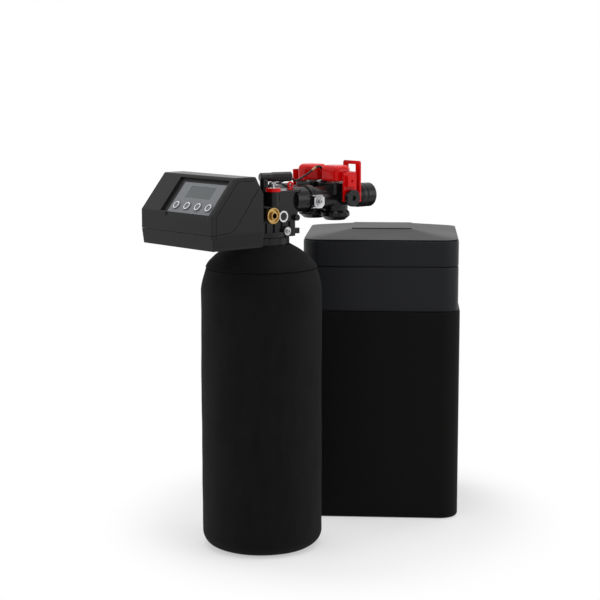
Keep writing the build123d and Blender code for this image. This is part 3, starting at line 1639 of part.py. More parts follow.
# Export
def export_all():
    save(make_tank(), "resin_tank")
    save(make_foot(), "tank_foot")
    save(group([make_sleeve(), make_hood()]), "tank_jacket")
    save(make_riser(), "riser_tube")
    save(group([make_lower_basket(), make_upper_basket()]), "distributors")
    save(make_gravel(), "gravel_bed")
    save(make_resin(), "resin_bed")
    valve_pieces = {
        "valve_collar": make_collar(),
        "valve_body": make_valve_body(),
        "piston_plug": make_piston_plug(),
        "seal_stack": make_seal_stack(),
        "piston": make_piston(),
        "main_gear": make_main_gear(),
        "idler_gear": make_idler(),
        "motor_pinion": make_pinion(),
        "gear_plate": make_gear_plate(),
        "drive_motor": make_motor(),
        "head_cover": make_head_cover(),
        "head_base": make_head_base(),
        "display_overlay": make_overlay(),
        "display_window": make_window(),
        "circuit_board": make_board(),
        "injector_ring": make_red_ring(),
        "brine_valve_stem": make_stem(),
        "brine_fitting": make_fitting(),
        "flow_plug": make_fitting_plug(),
        "drain_elbow": make_drain_elbow(),
        "drain_clip": make_drain_eye(),
        "washer_screws": group(body_screw_pieces() + retainer_screw_pieces()),
        "bypass_body": make_bypass_body(),
        "rotor_left": make_rotor(-1),
        "rotor_right": make_rotor(1),
        "knob_left": make_knob(-1),
        "knob_right": make_knob(1),
        "barrel_caps": make_barrel_caps(),
        "side_plugs": make_side_plugs(),
        "side_clips": make_side_clips(),
        "port_clip_left": clip_shape(-1, 0),
        "port_clip_right": clip_shape(1, 0),
        "port_adapters": make_adapters(),
        "couplers": make_couplers(),
        "seal_rings": group([make_neck_ring()] + coupler_ring_pieces()),
        "retainer_plates": make_retainers(),
        "meter_turbine": make_turbine(),
        "sensor_boot": make_boot(),
        "sensor_lead": make_lead(),
        "lead_gland": make_gland(),
    }
    for step in range(4):
        valve_pieces["button_" + str(step + 1)] = make_button(step)
    for node, shape in valve_pieces.items():
        save(on_tank(shape), node)
    cabinet_pieces = {
        "cabinet_body": make_cabinet(),
        "cabinet_collar": make_cabinet_collar(),
        "cabinet_lid": make_lid(),
        "brine_well": make_well(),
        "brine_well_cap": make_well_cap(),
        "salt_grid": make_grid(),
        "brine_pickup": make_pickup(),
        "brine_float": make_float(),
        "overflow_fitting": make_overflow(),
    }
    for node, shape in cabinet_pieces.items():
        save(in_cabinet(shape), node)


if __name__ == "__main__":
    export_all()
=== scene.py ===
"""Looks of a water softener: jacketed resin tank, metered valve with bypass, and brine cabinet."""
from math import pi, radians

import bpy
import numpy as np
from bpy.props import FloatProperty, FloatVectorProperty, IntProperty, PointerProperty
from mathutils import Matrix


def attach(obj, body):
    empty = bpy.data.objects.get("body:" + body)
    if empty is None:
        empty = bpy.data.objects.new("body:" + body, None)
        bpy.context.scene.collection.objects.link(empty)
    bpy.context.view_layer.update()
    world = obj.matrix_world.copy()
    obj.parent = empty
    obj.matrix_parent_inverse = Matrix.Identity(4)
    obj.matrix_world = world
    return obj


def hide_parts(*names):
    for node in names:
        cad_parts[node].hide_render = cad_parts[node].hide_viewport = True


bl_info = {
    "name": "Water Softener Looks",
    "version": (1, 0, 0),
    "blender": (4, 5, 0),
    "location": "3D View > Sidebar > Softener",
    "description": "Builds a water softener's visible surfaces and finishes round its packed frame",
    "category": "Object",
}

MM = 0.001
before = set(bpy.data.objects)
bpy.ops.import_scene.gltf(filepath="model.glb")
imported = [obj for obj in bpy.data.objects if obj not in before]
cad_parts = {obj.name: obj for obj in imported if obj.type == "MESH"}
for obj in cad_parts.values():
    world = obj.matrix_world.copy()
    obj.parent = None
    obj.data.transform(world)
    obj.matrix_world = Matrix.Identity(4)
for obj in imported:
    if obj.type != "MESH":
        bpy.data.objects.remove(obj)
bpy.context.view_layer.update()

# Places and sizes that the pieces share, in millimetres in the frame's axes
NECK_TOP = 551.897
VALVE_TURN = radians(-45.0)
DIAGONAL = 0.70710678
JACKET_RADIUS = 107.9
CABINET_PLACE = np.array([209.0, 325.0])
CABINET_SIZE = (301.0, 308.0)

# Places that finishes measure from, in metres: the tip of the sensor's boot in the frame's axes,
# and the plug's axis as its place along the valve's back axis and its height; each pair of
# distances is where the first finish ends and where the second is full
BOOT_TIP = (0.08556, 0.07849, 0.6714)
BOOT_TIP_REACH = (0.0115, 0.0125)
FLOW_PLUG = (0.005, 0.598397)
FLOW_PLUG_RIM = (0.0068, 0.0072)

# Directions that a tube's rings are squared to: upright, or aslant where the path is steep
UPRIGHT, ASLANT, STEEP = (0.0, 0.0, 1.0), (0.31, 0.95, 0.05), 0.9


def valve_points(points):
    """Turns points of the valve's own axes (right, back, up) into the frame's axes."""
    points = np.asarray(points, float).reshape(-1, 3)
    right, back, up = points.T
    turn = VALVE_TURN
    return np.stack([right * np.cos(turn) - back * np.sin(turn),
                     right * np.sin(turn) + back * np.cos(turn), up + NECK_TOP], 1)


# Meshes
def grid_faces(rows, columns, closed):
    """Quads of a grid of rows by columns points: each row is a ring, and where the grid is closed
    its last row joins its first."""
    row = np.arange(rows if closed else rows - 1)
    row, column = np.meshgrid(row, np.arange(columns), indexing="ij")
    below, beside = (row + 1) % rows, (column + 1) % columns
    quads = np.stack([row * columns + column, row * columns + beside,
                      below * columns + beside, below * columns + column], -1)
    return quads.reshape(-1, 4)


def mesh_object(name, points, faces, sharp_angle=40.0):
    """Puts point and face arrays, in millimetres, into a new object at the origin."""
    mesh = bpy.data.meshes.new(name)
    points = np.asarray(points, float).reshape(-1, 3) * MM
    faces = [np.asarray(part) for part in (faces if isinstance(faces, list) else [faces])]
    corners = np.concatenate([part.reshape(-1) for part in faces]).astype(np.int32)
    sizes = np.concatenate([np.full(len(part), part.shape[1]) for part in faces])
    starts = np.concatenate([[0], np.cumsum(sizes)[:-1]]).astype(np.int32)
    mesh.vertices.add(len(points))
    mesh.vertices.foreach_set("co", points.reshape(-1).astype(np.float32))
    mesh.loops.add(len(corners))
    mesh.loops.foreach_set("vertex_index", corners)
    mesh.polygons.add(len(sizes))
    mesh.polygons.foreach_set("loop_start", starts)
    mesh.polygons.foreach_set("loop_total", sizes.astype(np.int32))
    mesh.polygons.foreach_set("use_smooth", np.ones(len(sizes), bool))
    mesh.update(calc_edges=True)
    mesh.validate()
    mesh.set_sharp_from_angle(angle=radians(sharp_angle))
    piece = bpy.data.objects.new(name, mesh)
    bpy.context.scene.collection.objects.link(piece)
    return piece


def gathered(parts):
    """Joins several (points, faces) pairs into one point array and one face array."""
    points, faces, start = [], [], 0
    for part_points, part_faces in parts:
        part_points = np.asarray(part_points, float).reshape(-1, 3)
        points.append(part_points)
        faces.append(np.asarray(part_faces) + start)
        start += len(part_points)
    return np.concatenate(points), np.concatenate(faces)


def smooth_curve(knots, count):
    """Points on a cubic through the knots: each stretch blends two end points and two slopes."""
    knots = np.asarray(knots, float)
    slopes = np.gradient(knots, axis=0)
    place = np.linspace(0, len(knots) - 1, count)
    first = np.minimum(place.astype(int), len(knots) - 2)
    t = (place - first)[:, None]
    a, b = knots[first], knots[first + 1]
    sa, sb = slopes[first], slopes[first + 1]
    return (a * (2 * t**3 - 3 * t**2 + 1) + sa * (t**3 - 2 * t**2 + t)
            + b * (3 * t**2 - 2 * t**3) + sb * (t**3 - t**2))


def arc(centre, radius, start, end, count):
    """Points (across, up) on a circle between two angles in degrees."""
    angle = np.radians(np.linspace(start, end, count))
    return np.stack([centre[0] + radius * np.cos(angle), centre[1] + radius * np.sin(angle)], 1)


def turned_surface(profile, angles):
    """A profile of (radius, height) carried round the upright axis: x and y are the radius times
    the cosine and sine of the turn."""
    radius, height = np.asarray(profile, float).T
    x = radius[:, None] * np.cos(angles)[None, :]
    y = radius[:, None] * np.sin(angles)[None, :]
    z = np.repeat(height[:, None], len(angles), 1)
    return np.stack([x, y, z], -1)


def ring_angles(count):
    """Evenly spaced turns round a full circle."""
    return np.linspace(0, 2 * pi, count, endpoint=False)


def tube_along(path, radius, sides, closed=False):
    """A circle of the given radius carried along a path: each point is the path's point plus the
    radius times the cosine and sine of the turn along two directions square to the path."""
    path = np.asarray(path, float)
    if closed:
        ahead = np.roll(path, -1, 0) - np.roll(path, 1, 0)
    else:
        ahead = np.gradient(path, axis=0)
    ahead /= np.linalg.norm(ahead, axis=1, keepdims=True)
    guide = np.array(UPRIGHT if abs(ahead[:, 2]).max() < STEEP else ASLANT)
    side = np.cross(ahead, guide)
    side /= np.linalg.norm(side, axis=1, keepdims=True)
    up = np.cross(side, ahead)
    turn = ring_angles(sides)
    radius = np.broadcast_to(np.asarray(radius, float), (len(path),))
    ring = (side[:, None, :] * np.cos(turn)[None, :, None]
            + up[:, None, :] * np.sin(turn)[None, :, None])
    points = path[:, None, :] + ring * radius[:, None, None]
    return points.reshape(-1, 3), grid_faces(len(path), sides, closed)[:, ::-1]


def rounded_ring(width, depth, radius, steps):
    """A rectangle with round corners, as four quarter circles joined by straight sides."""
    radius = max(radius, 0.01)
    corner = np.linspace(0, pi / 2, steps)
    points = []
    for turn, (right, back) in enumerate([(1, 1), (-1, 1), (-1, -1), (1, -1)]):
        angle = corner + turn * pi / 2
        points.append(np.stack([right * (width / 2 - radius) + radius * np.cos(angle),
                                back * (depth / 2 - radius) + radius * np.sin(angle)], 1))
    return np.concatenate(points)


# Shader maths
class Wire:
    """One socket of a material; sums and products of wires add the Math nodes that they need."""

    def __init__(self, tree, socket):
        self.tree, self.socket = tree, socket

    def _math(self, operation, *others):
        node = self.tree.add("ShaderNodeMath", {"operation": operation},
                             dict(enumerate((self,) + others)))
        return node.out(0)

    def __add__(self, other):
        return self._math("ADD", other)

    def __sub__(self, other):
        return self._math("SUBTRACT", other)

    def __rsub__(self, other):
        return self._math("MULTIPLY_ADD", -1.0, other)

    def __mul__(self, other):
        return self._math("MULTIPLY", other)

    def __truediv__(self, other):
        return self._math("DIVIDE", other)

    def __pow__(self, other):
        return self._math("POWER", other)

    def sine(self):
        return self._math("SINE")

    def size(self):
        return self._math("ABSOLUTE")

    def most(self, other):
        return self._math("MAXIMUM", other)

    def above(self, other):
        return self._math("GREATER_THAN", other)

    def step(self, low, high):
        """Rises smoothly from 0 at low to 1 at high."""
        node = self.tree.add("ShaderNodeMapRange", {"interpolation_type": "SMOOTHSTEP"},
                             {"Value": self, "From Min": low, "From Max": high})
        return node.out("Result")


class Piece:
    """A node that has been added, with its outputs as wires."""

    def __init__(self, tree, node):
        self.tree, self.node = tree, node

    def out(self, name=0):
        return Wire(self.tree, self.node.outputs[name])


class Finish:
    """A procedural material: add() makes a node from its type, settings and sockets."""

    def __init__(self, name, tree=None):
        if tree is None:
            self.material = bpy.data.materials.new(name)
            self.material.use_nodes = True
            tree = self.material.node_tree
        self.tree = tree
        tree.nodes.clear()

    def add(self, kind, settings=None, sockets=None):
        node = self.tree.nodes.new(kind)
        for key, value in (settings or {}).items():
            setattr(node, key, value)
        for key, value in (sockets or {}).items():
            if isinstance(value, Wire):
                self.tree.links.new(value.socket, node.inputs[key])
            else:
                node.inputs[key].default_value = value
        return Piece(self, node)

    def place(self, scale=(1.0, 1.0, 1.0), turn=(0.0, 0.0, 0.0)):
        """Object coordinates, stretched and turned."""
        coordinates = self.add("ShaderNodeTexCoord").out("Object")
        return self.add("ShaderNodeMapping", {},
                        {"Vector": coordinates, "Scale": scale, "Rotation": turn}).out()

    def axes(self, where):
        node = self.add("ShaderNodeSeparateXYZ", {}, {0: where})
        return node.out("X"), node.out("Y"), node.out("Z")

    def noise(self, where, scale, detail, roughness=0.5):
        sockets = {"Vector": where, "Scale": scale, "Detail": detail, "Roughness": roughness}
        return self.add("ShaderNodeTexNoise", {"noise_dimensions": "3D"}, sockets).out()

    def cells(self, where, scale):
        return self.add("ShaderNodeTexVoronoi", {"feature": "F1"},
                        {"Vector": where, "Scale": scale})

    def in_view(self):
        """1 where the stage is seen, mirrored or looked through, 0 where it lights the part."""
        path = self.add("ShaderNodeLightPath")
        seen = path.out("Is Camera Ray").most(path.out("Is Glossy Ray"))
        return seen.most(path.out("Is Transmission Ray"))

    def blend(self, share, low, high):
        """A colour between low and high."""
        node = self.add("ShaderNodeMix", {"data_type": "RGBA"}, {0: share, 6: low, 7: high})
        return Wire(self, node.node.outputs[2])

    def varied(self, share, colour, low, high):
        """A colour that drifts between two shares of itself."""
        return self.blend(share, lighter(colour, low), lighter(colour, high))

    def bump(self, height, distance, strength, edge=0.0):
        """A bump; with an edge, it lies on normals that turn softly within that radius of edges."""
        sockets = {"Height": height, "Distance": distance, "Strength": strength}
        if edge:
            sockets["Normal"] = self.add("ShaderNodeBevel", {"samples": 6}, {"Radius": edge}).out()
        return self.add("ShaderNodeBump", {}, sockets).out()

    def surface(self, **sockets):
        named = {key.replace("_", " "): value for key, value in sockets.items()}
        shader = self.add("ShaderNodeBsdfPrincipled", {}, named).out()
        self.add("ShaderNodeOutputMaterial", {}, {"Surface": shader})
        return self.material


def tone(level):
    """A grey or a colour with its alpha."""
    values = (level, level, level) if np.isscalar(level) else tuple(level)
    return values + (1.0,) if len(values) == 3 else values


def lighter(colour, share):
    return tuple(min(1.0, value * share) for value in tone(colour)[:3]) + (1.0,)


# Each moulding's roughness, specular level, scale of grain, depth of grain in metres, drift of
# tone, share of flow streaks, and the radius in metres over which its edges look soft
MOULDINGS = {
    "head_plastic": (0.3, 0.16, 1100.0, 0.00006, 0.1, 0.0, 0.0024),
    "ring_ink": (0.4, 0.4, 1500.0, 0.00002, 0.03, 0.0, 0.0),
    "valve_moulding": (0.2, 0.22, 700.0, 0.00012, 0.2, 0.0, 0.0011),
    "gear_acetal": (0.38, 0.45, 900.0, 0.00004, 0.04, 0.0, 0.0),
    "pipe_white": (0.42, 0.4, 900.0, 0.00005, 0.05, 0.0, 0.0),
    "cabinet_moulding": (0.62, 0.06, 1400.0, 0.00012, 0.18, 0.0, 0.0),
    "collar_moulding": (0.4, 0.12, 1300.0, 0.00004, 0.10, 0.0, 0.0),
    "well_white": (0.45, 0.4, 900.0, 0.00005, 0.05, 0.0, 0.0),
    "piping_cord_painted_shade": (0.8, 0.08, 1500.0, 0.0002, 0.12, 0.0, 0.0),
    "stitch_thread": (0.6, 0.3, 2500.0, 0.0001, 0.12, 0.0, 0.0),
    "elbow_moulding": (0.2, 0.3, 700.0, 0.00012, 0.2, 0.0, 0.0002),
    "seal_rubber": (0.6, 0.4, 1400.0, 0.0001, 0.12, 0.0, 0.0),
    "ring_rubber": (0.5, 0.4, 1800.0, 0.00005, 0.12, 0.0, 0.0),
    "plate_grey": (0.5, 0.4, 900.0, 0.0001, 0.12, 0.0, 0.0),
    "lead_rubber": (0.4, 0.2, 1600.0, 0.00005, 0.12, 0.0, 0.0),
    "wound_shell": (0.4, 0.4, 500.0, 0.0002, 0.2, 0.6, 0.0),
    "foot_moulding": (0.6, 0.3, 900.0, 0.0001, 0.12, 0.0, 0.0),
    "float_blue": (0.4, 0.45, 900.0, 0.00005, 0.06, 0.0, 0.0),
}


def moulded(name, colour):
    """Injection-moulded plastic: a fine spark-eroded grain and a slow drift of tone and gloss."""
    rough, level, grain, depth, mottle, streak, edge = MOULDINGS[name]
    finish = Finish(name)
    where = finish.place()
    slow = finish.noise(where, 9.0, 3.0)
    fine = finish.noise(where, grain, 3.0, 0.6)
    flow = finish.noise(finish.place((1.0, 1.0, 14.0)), 22.0, 4.0, 0.6)
    share = slow * (1.0 - streak) + flow * streak
    tint = finish.varied(share, colour, 1 - mottle, 1 + mottle)
    gloss = (slow - 0.5) * 0.12 + (fine - 0.5) * 0.1 + rough
    return finish.surface(Base_Color=tint, Roughness=gloss, Specular_IOR_Level=level,
                          Normal=finish.bump(fine, depth, 0.6, edge))


def glossy_red(name, colour):
    """Bright red moulding: nearly smooth, with flow marks and a darker tone in the slow drift."""
    finish = Finish(name)
    where = finish.place()
    slow = finish.noise(where, 26.0, 3.0)
    ripple = finish.noise(where, 160.0, 2.0)
    tint = finish.varied(slow.step(0.3, 0.75), colour, 0.82, 1.12)
    return finish.surface(Base_Color=tint, Roughness=(ripple - 0.5) * 0.08 + 0.13,
                          Specular_IOR_Level=0.16,
                          Normal=finish.bump(ripple, 0.00012, 0.35, 0.0010))


def metal(name, colour, rough, lines=1800.0, tarnish=0.1):
    """Turned or rolled metal: fine lines along the length and a slow cloud of tarnish."""
    finish = Finish(name)
    where = finish.place()
    cloud = finish.noise(where, 45.0, 4.0)
    brushed = finish.noise(finish.place((1.0, 1.0, 0.06)), lines, 2.0)
    tint = finish.varied(cloud.step(0.35, 0.8), colour, 1.0, 1 - tarnish * 2)
    return finish.surface(Base_Color=tint, Metallic=1.0,
                          Roughness=(brushed - 0.5) * 0.16 + (cloud - 0.5) * 0.12 + rough,
                          Normal=finish.bump(brushed, 0.00003, 0.5, 0.0006))


def grains(name, colour, dark, scale, rough):
    """Loose beads or stones packed together: a cell pattern with rounded tops."""
    finish = Finish(name)
    where = finish.place()
    cell = finish.cells(where, scale)
    hue = finish.axes(cell.out("Color"))[0]
    height = 1.0 - cell.out("Distance")
    return finish.surface(Base_Color=finish.blend(hue, tone(dark), tone(colour)), Roughness=rough,
                          Specular_IOR_Level=0.5, Normal=finish.bump(height, 0.0006, 1.0))


def knit(name, colour, thread):
    """Fine black knit over foam, from the piece's own UV map: u counts columns of loops round the
    tank and v counts rows up it. Each loop is a rounded bump that leans left or right in turn."""
    finish = Finish(name)
    across, along, _ = finish.axes(finish.add("ShaderNodeUVMap", {"uv_map": "UVMap"}).out())
    wale = (across * (2 * pi)).sine().size()
    lean = (across * pi).sine().above(0.0) * 2.0 - 1.0
    course = ((along + wale * 0.35 * lean) * (2 * pi)).sine() * 0.5 + 0.5
    loop = wale * (course * 0.7 + 0.3)
    where = finish.place()
    fuzz = finish.noise(where, 2200.0, 3.0, 0.7)
    patch = finish.noise(where, 14.0, 4.0, 0.6)
    drift = finish.noise(finish.place((1.0, 1.0, 0.25)), 60.0, 4.0, 0.65)
    height = loop + fuzz * 0.5
    share = (loop * 0.4 + fuzz * 0.25 + patch * 0.35 + drift * 0.55).step(0.35, 1.15)
    return finish.surface(Base_Color=finish.blend(share, tone(colour), tone(thread)),
                          Roughness=0.92 - fuzz * 0.1, Specular_IOR_Level=0.08, Sheen_Weight=0.04,
                          Sheen_Roughness=0.45, Sheen_Tint=tone(0.9),
                          Normal=finish.bump(height, 0.00035, 0.8))


def display_film(name, colour):
    """Printed grey film: a fine dot screen on its own slope, with a faint brushed sheen."""
    finish = Finish(name)
    where = finish.place()
    dots = finish.cells(where, 900.0).out("Distance").step(0.2, 0.55)
    brushed = finish.noise(finish.place((1.0, 0.12, 1.0), (0.0, 0.0, VALVE_TURN)), 1300.0, 2.0)
    share = dots * 0.5 + brushed * 0.5
    return finish.surface(Base_Color=finish.varied(share, colour, 0.82, 1.2),
                          Roughness=(brushed - 0.5) * 0.1 + 0.34, Specular_IOR_Level=0.45,
                          Normal=finish.bump(share, 0.00003, 0.4))


def dark_display(name, colour):
    """Unlit display under its window: a grey-green panel with a hair-fine pixel grid."""
    finish = Finish(name)
    where = finish.place()
    right, back, up = finish.axes(where)
    along = (right - back) * DIAGONAL
    lines = (along * 4200.0).sine().size() * 0.5 + (up * 5200.0).sine().size() * 0.5
    cloud = finish.noise(where, 40.0, 2.0)
    share = lines * 0.35 + cloud * 0.65
    return finish.surface(Base_Color=finish.varied(share, colour, 0.85, 1.15), Roughness=0.16,
                          Specular_IOR_Level=0.5, Coat_Weight=0.3, Coat_Roughness=0.05)


def circuit(name):
    """Solder mask over copper: the joints of a brick pattern make the traces."""
    finish = Finish(name)
    where = finish.place((1.0, 1.0, 1.0), (0.0, 0.0, pi / 4))
    brick = finish.add("ShaderNodeTexBrick", {"offset": 0.35},
                       {"Vector": where, "Scale": 90.0, "Mortar Size": 0.025,
                        "Color1": tone((0.01, 0.10, 0.04)), "Color2": tone((0.012, 0.13, 0.05)),
                        "Mortar": tone((0.05, 0.25, 0.12))})
    return finish.surface(Base_Color=brick.out("Color"), Roughness=0.35,
                          Normal=finish.bump(brick.out("Fac"), 0.00005, 0.6))


def boot_rubber(name, dark, tip):
    """Rubber boot: dark, and tan within a short way of its tip's point."""
    finish = Finish(name)
    where = finish.place()
    right, back, up = finish.axes(where)
    away = ((right - BOOT_TIP[0]) ** 2 + (back - BOOT_TIP[1]) ** 2 + (up - BOOT_TIP[2]) ** 2) ** 0.5
    fine = finish.noise(where, 900.0, 3.0)
    share = away.step(*BOOT_TIP_REACH)
    return finish.surface(Base_Color=finish.blend(share, tone(tip), tone(dark)),
                          Roughness=fine * 0.1 + 0.4, Specular_IOR_Level=0.4,
                          Normal=finish.bump(fine, 0.0001, 0.5))


def ring_plate(name, dark, steel):
    """A plug with a bright rim: dark moulding round the plug's axis, steel farther out."""
    finish = Finish(name)
    right, back, up = finish.axes(finish.place())
    aside = (right + back) * DIAGONAL - FLOW_PLUG[0]
    away = (aside ** 2 + (up - FLOW_PLUG[1]) ** 2) ** 0.5
    share = away.step(*FLOW_PLUG_RIM)
    fine = finish.noise(finish.place(), 700.0, 2.0)
    return finish.surface(Base_Color=finish.blend(share, tone(dark), tone(steel)), Metallic=share,
                          Roughness=fine * 0.1 + 0.22, Specular_IOR_Level=0.25,
                          Normal=finish.bump(fine, 0.00004, 0.5, 0.0005))


# Values that a user may change
def colour_value(name, description, default):
    return FloatVectorProperty(name=name, description=description, size=3, default=default,
                               subtype="COLOR")


def number_value(name, description, default, unit="NONE"):
    return FloatProperty(name=name, description=description, default=default, unit=unit)


def length_value(name, description, default):
    return number_value(name, description, default, "LENGTH")


class JacketValues(bpy.types.PropertyGroup):
    radius: length_value("Jacket radius", "Outer radius of the sleeve", 0.1079)
    hem: length_value("Hem radius", "Rounding at the foot of the sleeve", 0.027)
    piping: length_value("Piping radius", "Radius of the sewn cord at the shoulder", 0.0009)
    columns: IntProperty(name="Loop columns", description="Columns of knit loops round the tank",
                         default=520, min=64)
    cloth: colour_value("Cloth", "Colour between the loops", (0.0022, 0.0022, 0.0024))
    thread: colour_value("Thread", "Colour of the loops", (0.0085, 0.0084, 0.0097))


class HousingValues(bpy.types.PropertyGroup):
    shell: colour_value("Housing", "Colour of the display head", (0.0092, 0.0092, 0.0092))
    film: colour_value("Film", "Colour of the display film", (0.13, 0.137, 0.15))
    display: colour_value("Display", "Colour of the unlit display", (0.045, 0.055, 0.058))
    ring: length_value("Key ring radius", "Radius of the white ring on each key", 0.0062)


class ValveValues(bpy.types.PropertyGroup):
    body: colour_value("Valve", "Colour of the valve moulding", (0.0055, 0.0055, 0.006))
    red: colour_value("Red", "Colour of the knobs and clips", (0.66, 0.0025, 0.003))
    tan: colour_value("Boot tip", "Colour of the sensor boot's tip", (0.36, 0.21, 0.10))
    steel: colour_value("Steel", "Colour of the bright steel", (0.50, 0.50, 0.51))


class CabinetValues(bpy.types.PropertyGroup):
    body: colour_value("Cabinet", "Colour of the cabinet's body", (0.0045, 0.0045, 0.0043))
    collar: colour_value("Collar", "Colour of the collar and lid", (0.0115, 0.0121, 0.0140))
    corner: length_value("Corner radius", "Radius of the upright corners", 0.036)


class StageValues(bpy.types.PropertyGroup):
    lens: number_value("Lens", "Focal length of the camera in millimetres", 97.32)
    world: number_value("World", "Strength of the world's even light", 0.62)
    key: number_value("Key", "Strength of the soft light from the right", 26.0)
    floor: colour_value("Floor", "Colour of the floor", (0.90, 0.90, 0.905))


class SoftenerValues(bpy.types.PropertyGroup):
    jacket: PointerProperty(type=JacketValues)
    housing: PointerProperty(type=HousingValues)
    valve: PointerProperty(type=ValveValues)
    cabinet: PointerProperty(type=CabinetValues)
    stage: PointerProperty(type=StageValues)


def values(context):
    return context.scene.softener_values


def dress(material, *nodes):
    """Gives carried-over nodes their material."""
    for node in nodes:
        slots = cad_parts[node].data.materials
        slots.clear()
        slots.append(material)


def clothe(piece, material, body):
    """Gives a new piece its material, slot and body."""
    piece.data.materials.clear()
    piece.data.materials.append(material)
    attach(piece, body)
    return piece


# Jacket, in millimetres, with the hem's start in degrees; the profiles are (radius, height)
JACKET_THICKNESS = 5.8
JACKET_SEAM_HEIGHT = 505.0
JACKET_SEAM_ANGLE = radians(118.0)
JACKET_COLUMNS, EVEN_SHARE = 240, 0.25
HEM_START, HEM_REST = -75, 3.0
SLEEVE_TOP, SLEEVE_ROWS = 463.5, 150
SHOULDER = [(JACKET_RADIUS, 466.0), (106.4, 476.0), (103.9, 486.0), (100.7, 497.0), (99.0, 503.2)]
SLEEVE_PINCH = [(97.3, 504.6), (96.2, 505.0)]
SLEEVE_INSIDE = [(102.1, 120), (102.1, 300), (102.1, 462), (99.0, 481), (94.5, 496), (91.0, 504.6)]
HOOD_PINCH = [(96.2, 505.2), (97.3, 505.7)]
HOOD = [(99.2, 507.0), (94.4, 515.0), (82.2, 527.0), (70.4, 536.0), (58.8, 543.0), (51.6, 547.0)]
HOOD_INSIDE = [(90.8, 505.3), (88.0, 511), (77.3, 522.5), (66.0, 530.8), (55.3, 537.5),
               (49.4, 541.0)]
PIPING_PLACE = 96.9
# How far the piping strays outwards and upwards, and how often round the tank
PIPING_SWAY, PIPING_LIFT = (0.25, 3), (0.15, 9)

# Each wave of the cloth: height, number round the tank, rise for a turn by a radian, and shift
WAVES = ((0.30, 3, 63.0, 0.0), (0.22, 7, -31.0, 1.3), (0.12, 5, 11.0, 0.0))
# The upright seam: its ridge, its groove, and its stitches from a height to a height at a pitch
RIDGE_HIGH, RIDGE_ASIDE, RIDGE_WIDE = 0.75, 1.7, 1.1
GROOVE_DEEP, GROOVE_WIDE = 0.55, 0.8
STITCH_ROWS = (34.0, 462.0, 4.2)
STITCH_RADIUS, STITCH_REACH, STITCH_SLANT = 0.28, 3.0, 1.1
STITCH_DIVE, STITCH_STRAY = 0.9, 0.1


def jacket_angles():
    """Angles round the tank, packed closer together beside the upright seam."""
    t = np.linspace(-1, 1, JACKET_COLUMNS + 1)[:-1]
    return JACKET_SEAM_ANGLE + pi * (EVEN_SHARE * t + (1 - EVEN_SHARE) * t**3)


def jacket_surface(profile, angles):
    """The turned profile, moved in or out by a few soft waves, and raised beside the upright seam
    with a groove in its middle: two narrow bells make the ridge and a narrower one the groove."""
    surface = turned_surface(profile, angles)
    height = surface[..., 2]
    radius = np.hypot(surface[..., 0], surface[..., 1])
    turn = angles[None, :]
    wave = sum(high * np.sin(count * turn + height / rise + shift)
               for high, count, rise, shift in WAVES)
    aside = (turn - JACKET_SEAM_ANGLE) * radius
    ridge = RIDGE_HIGH * np.exp(-((np.abs(aside) - RIDGE_ASIDE) / RIDGE_WIDE) ** 2)
    groove = GROOVE_DEEP * np.exp(-(aside / GROOVE_WIDE) ** 2)
    out = (wave + ridge - groove) / np.maximum(radius, 1.0)
    surface[..., 0] *= 1 + out
    surface[..., 1] *= 1 + out
    return surface


def closed_sleeve(outer, inner, angles):
    """Outer and inner turned surfaces joined at both rims into one closed shell."""
    outside = jacket_surface(outer, angles)
    inside = turned_surface(inner[::-1], angles)
    points = np.concatenate([outside, inside])
    return points, grid_faces(len(points), len(angles), True)


def knit_map(piece, angles, heights, loops):
    """Writes a UV map: u is the turn times the number of loops, v the height at the same pitch."""
    columns = len(angles)
    pitch = 2 * pi * JACKET_RADIUS / loops
    layer = piece.data.uv_layers.new(name="UVMap")
    corner = np.zeros(len(piece.data.loops), np.int32)
    piece.data.loops.foreach_get("vertex_index", corner)
    row, column = corner // columns, corner % columns
    turn = (angles[column] - angles[0]) / (2 * pi) * loops
    uv = np.stack([turn, heights[row] / pitch], 1).reshape(-1, 4, 2)
    wrapped = uv[..., 0].max(1, keepdims=True) - uv[..., 0] > loops / 2
    uv[..., 0] += wrapped * loops
    layer.data.foreach_set("uv", uv.reshape(-1).astype(np.float32))


def run_of(profile):
    """Length along a profile up to each of its points."""
    steps = np.linalg.norm(np.diff(profile, axis=0), axis=1)
    return np.concatenate([[0], np.cumsum(steps)])


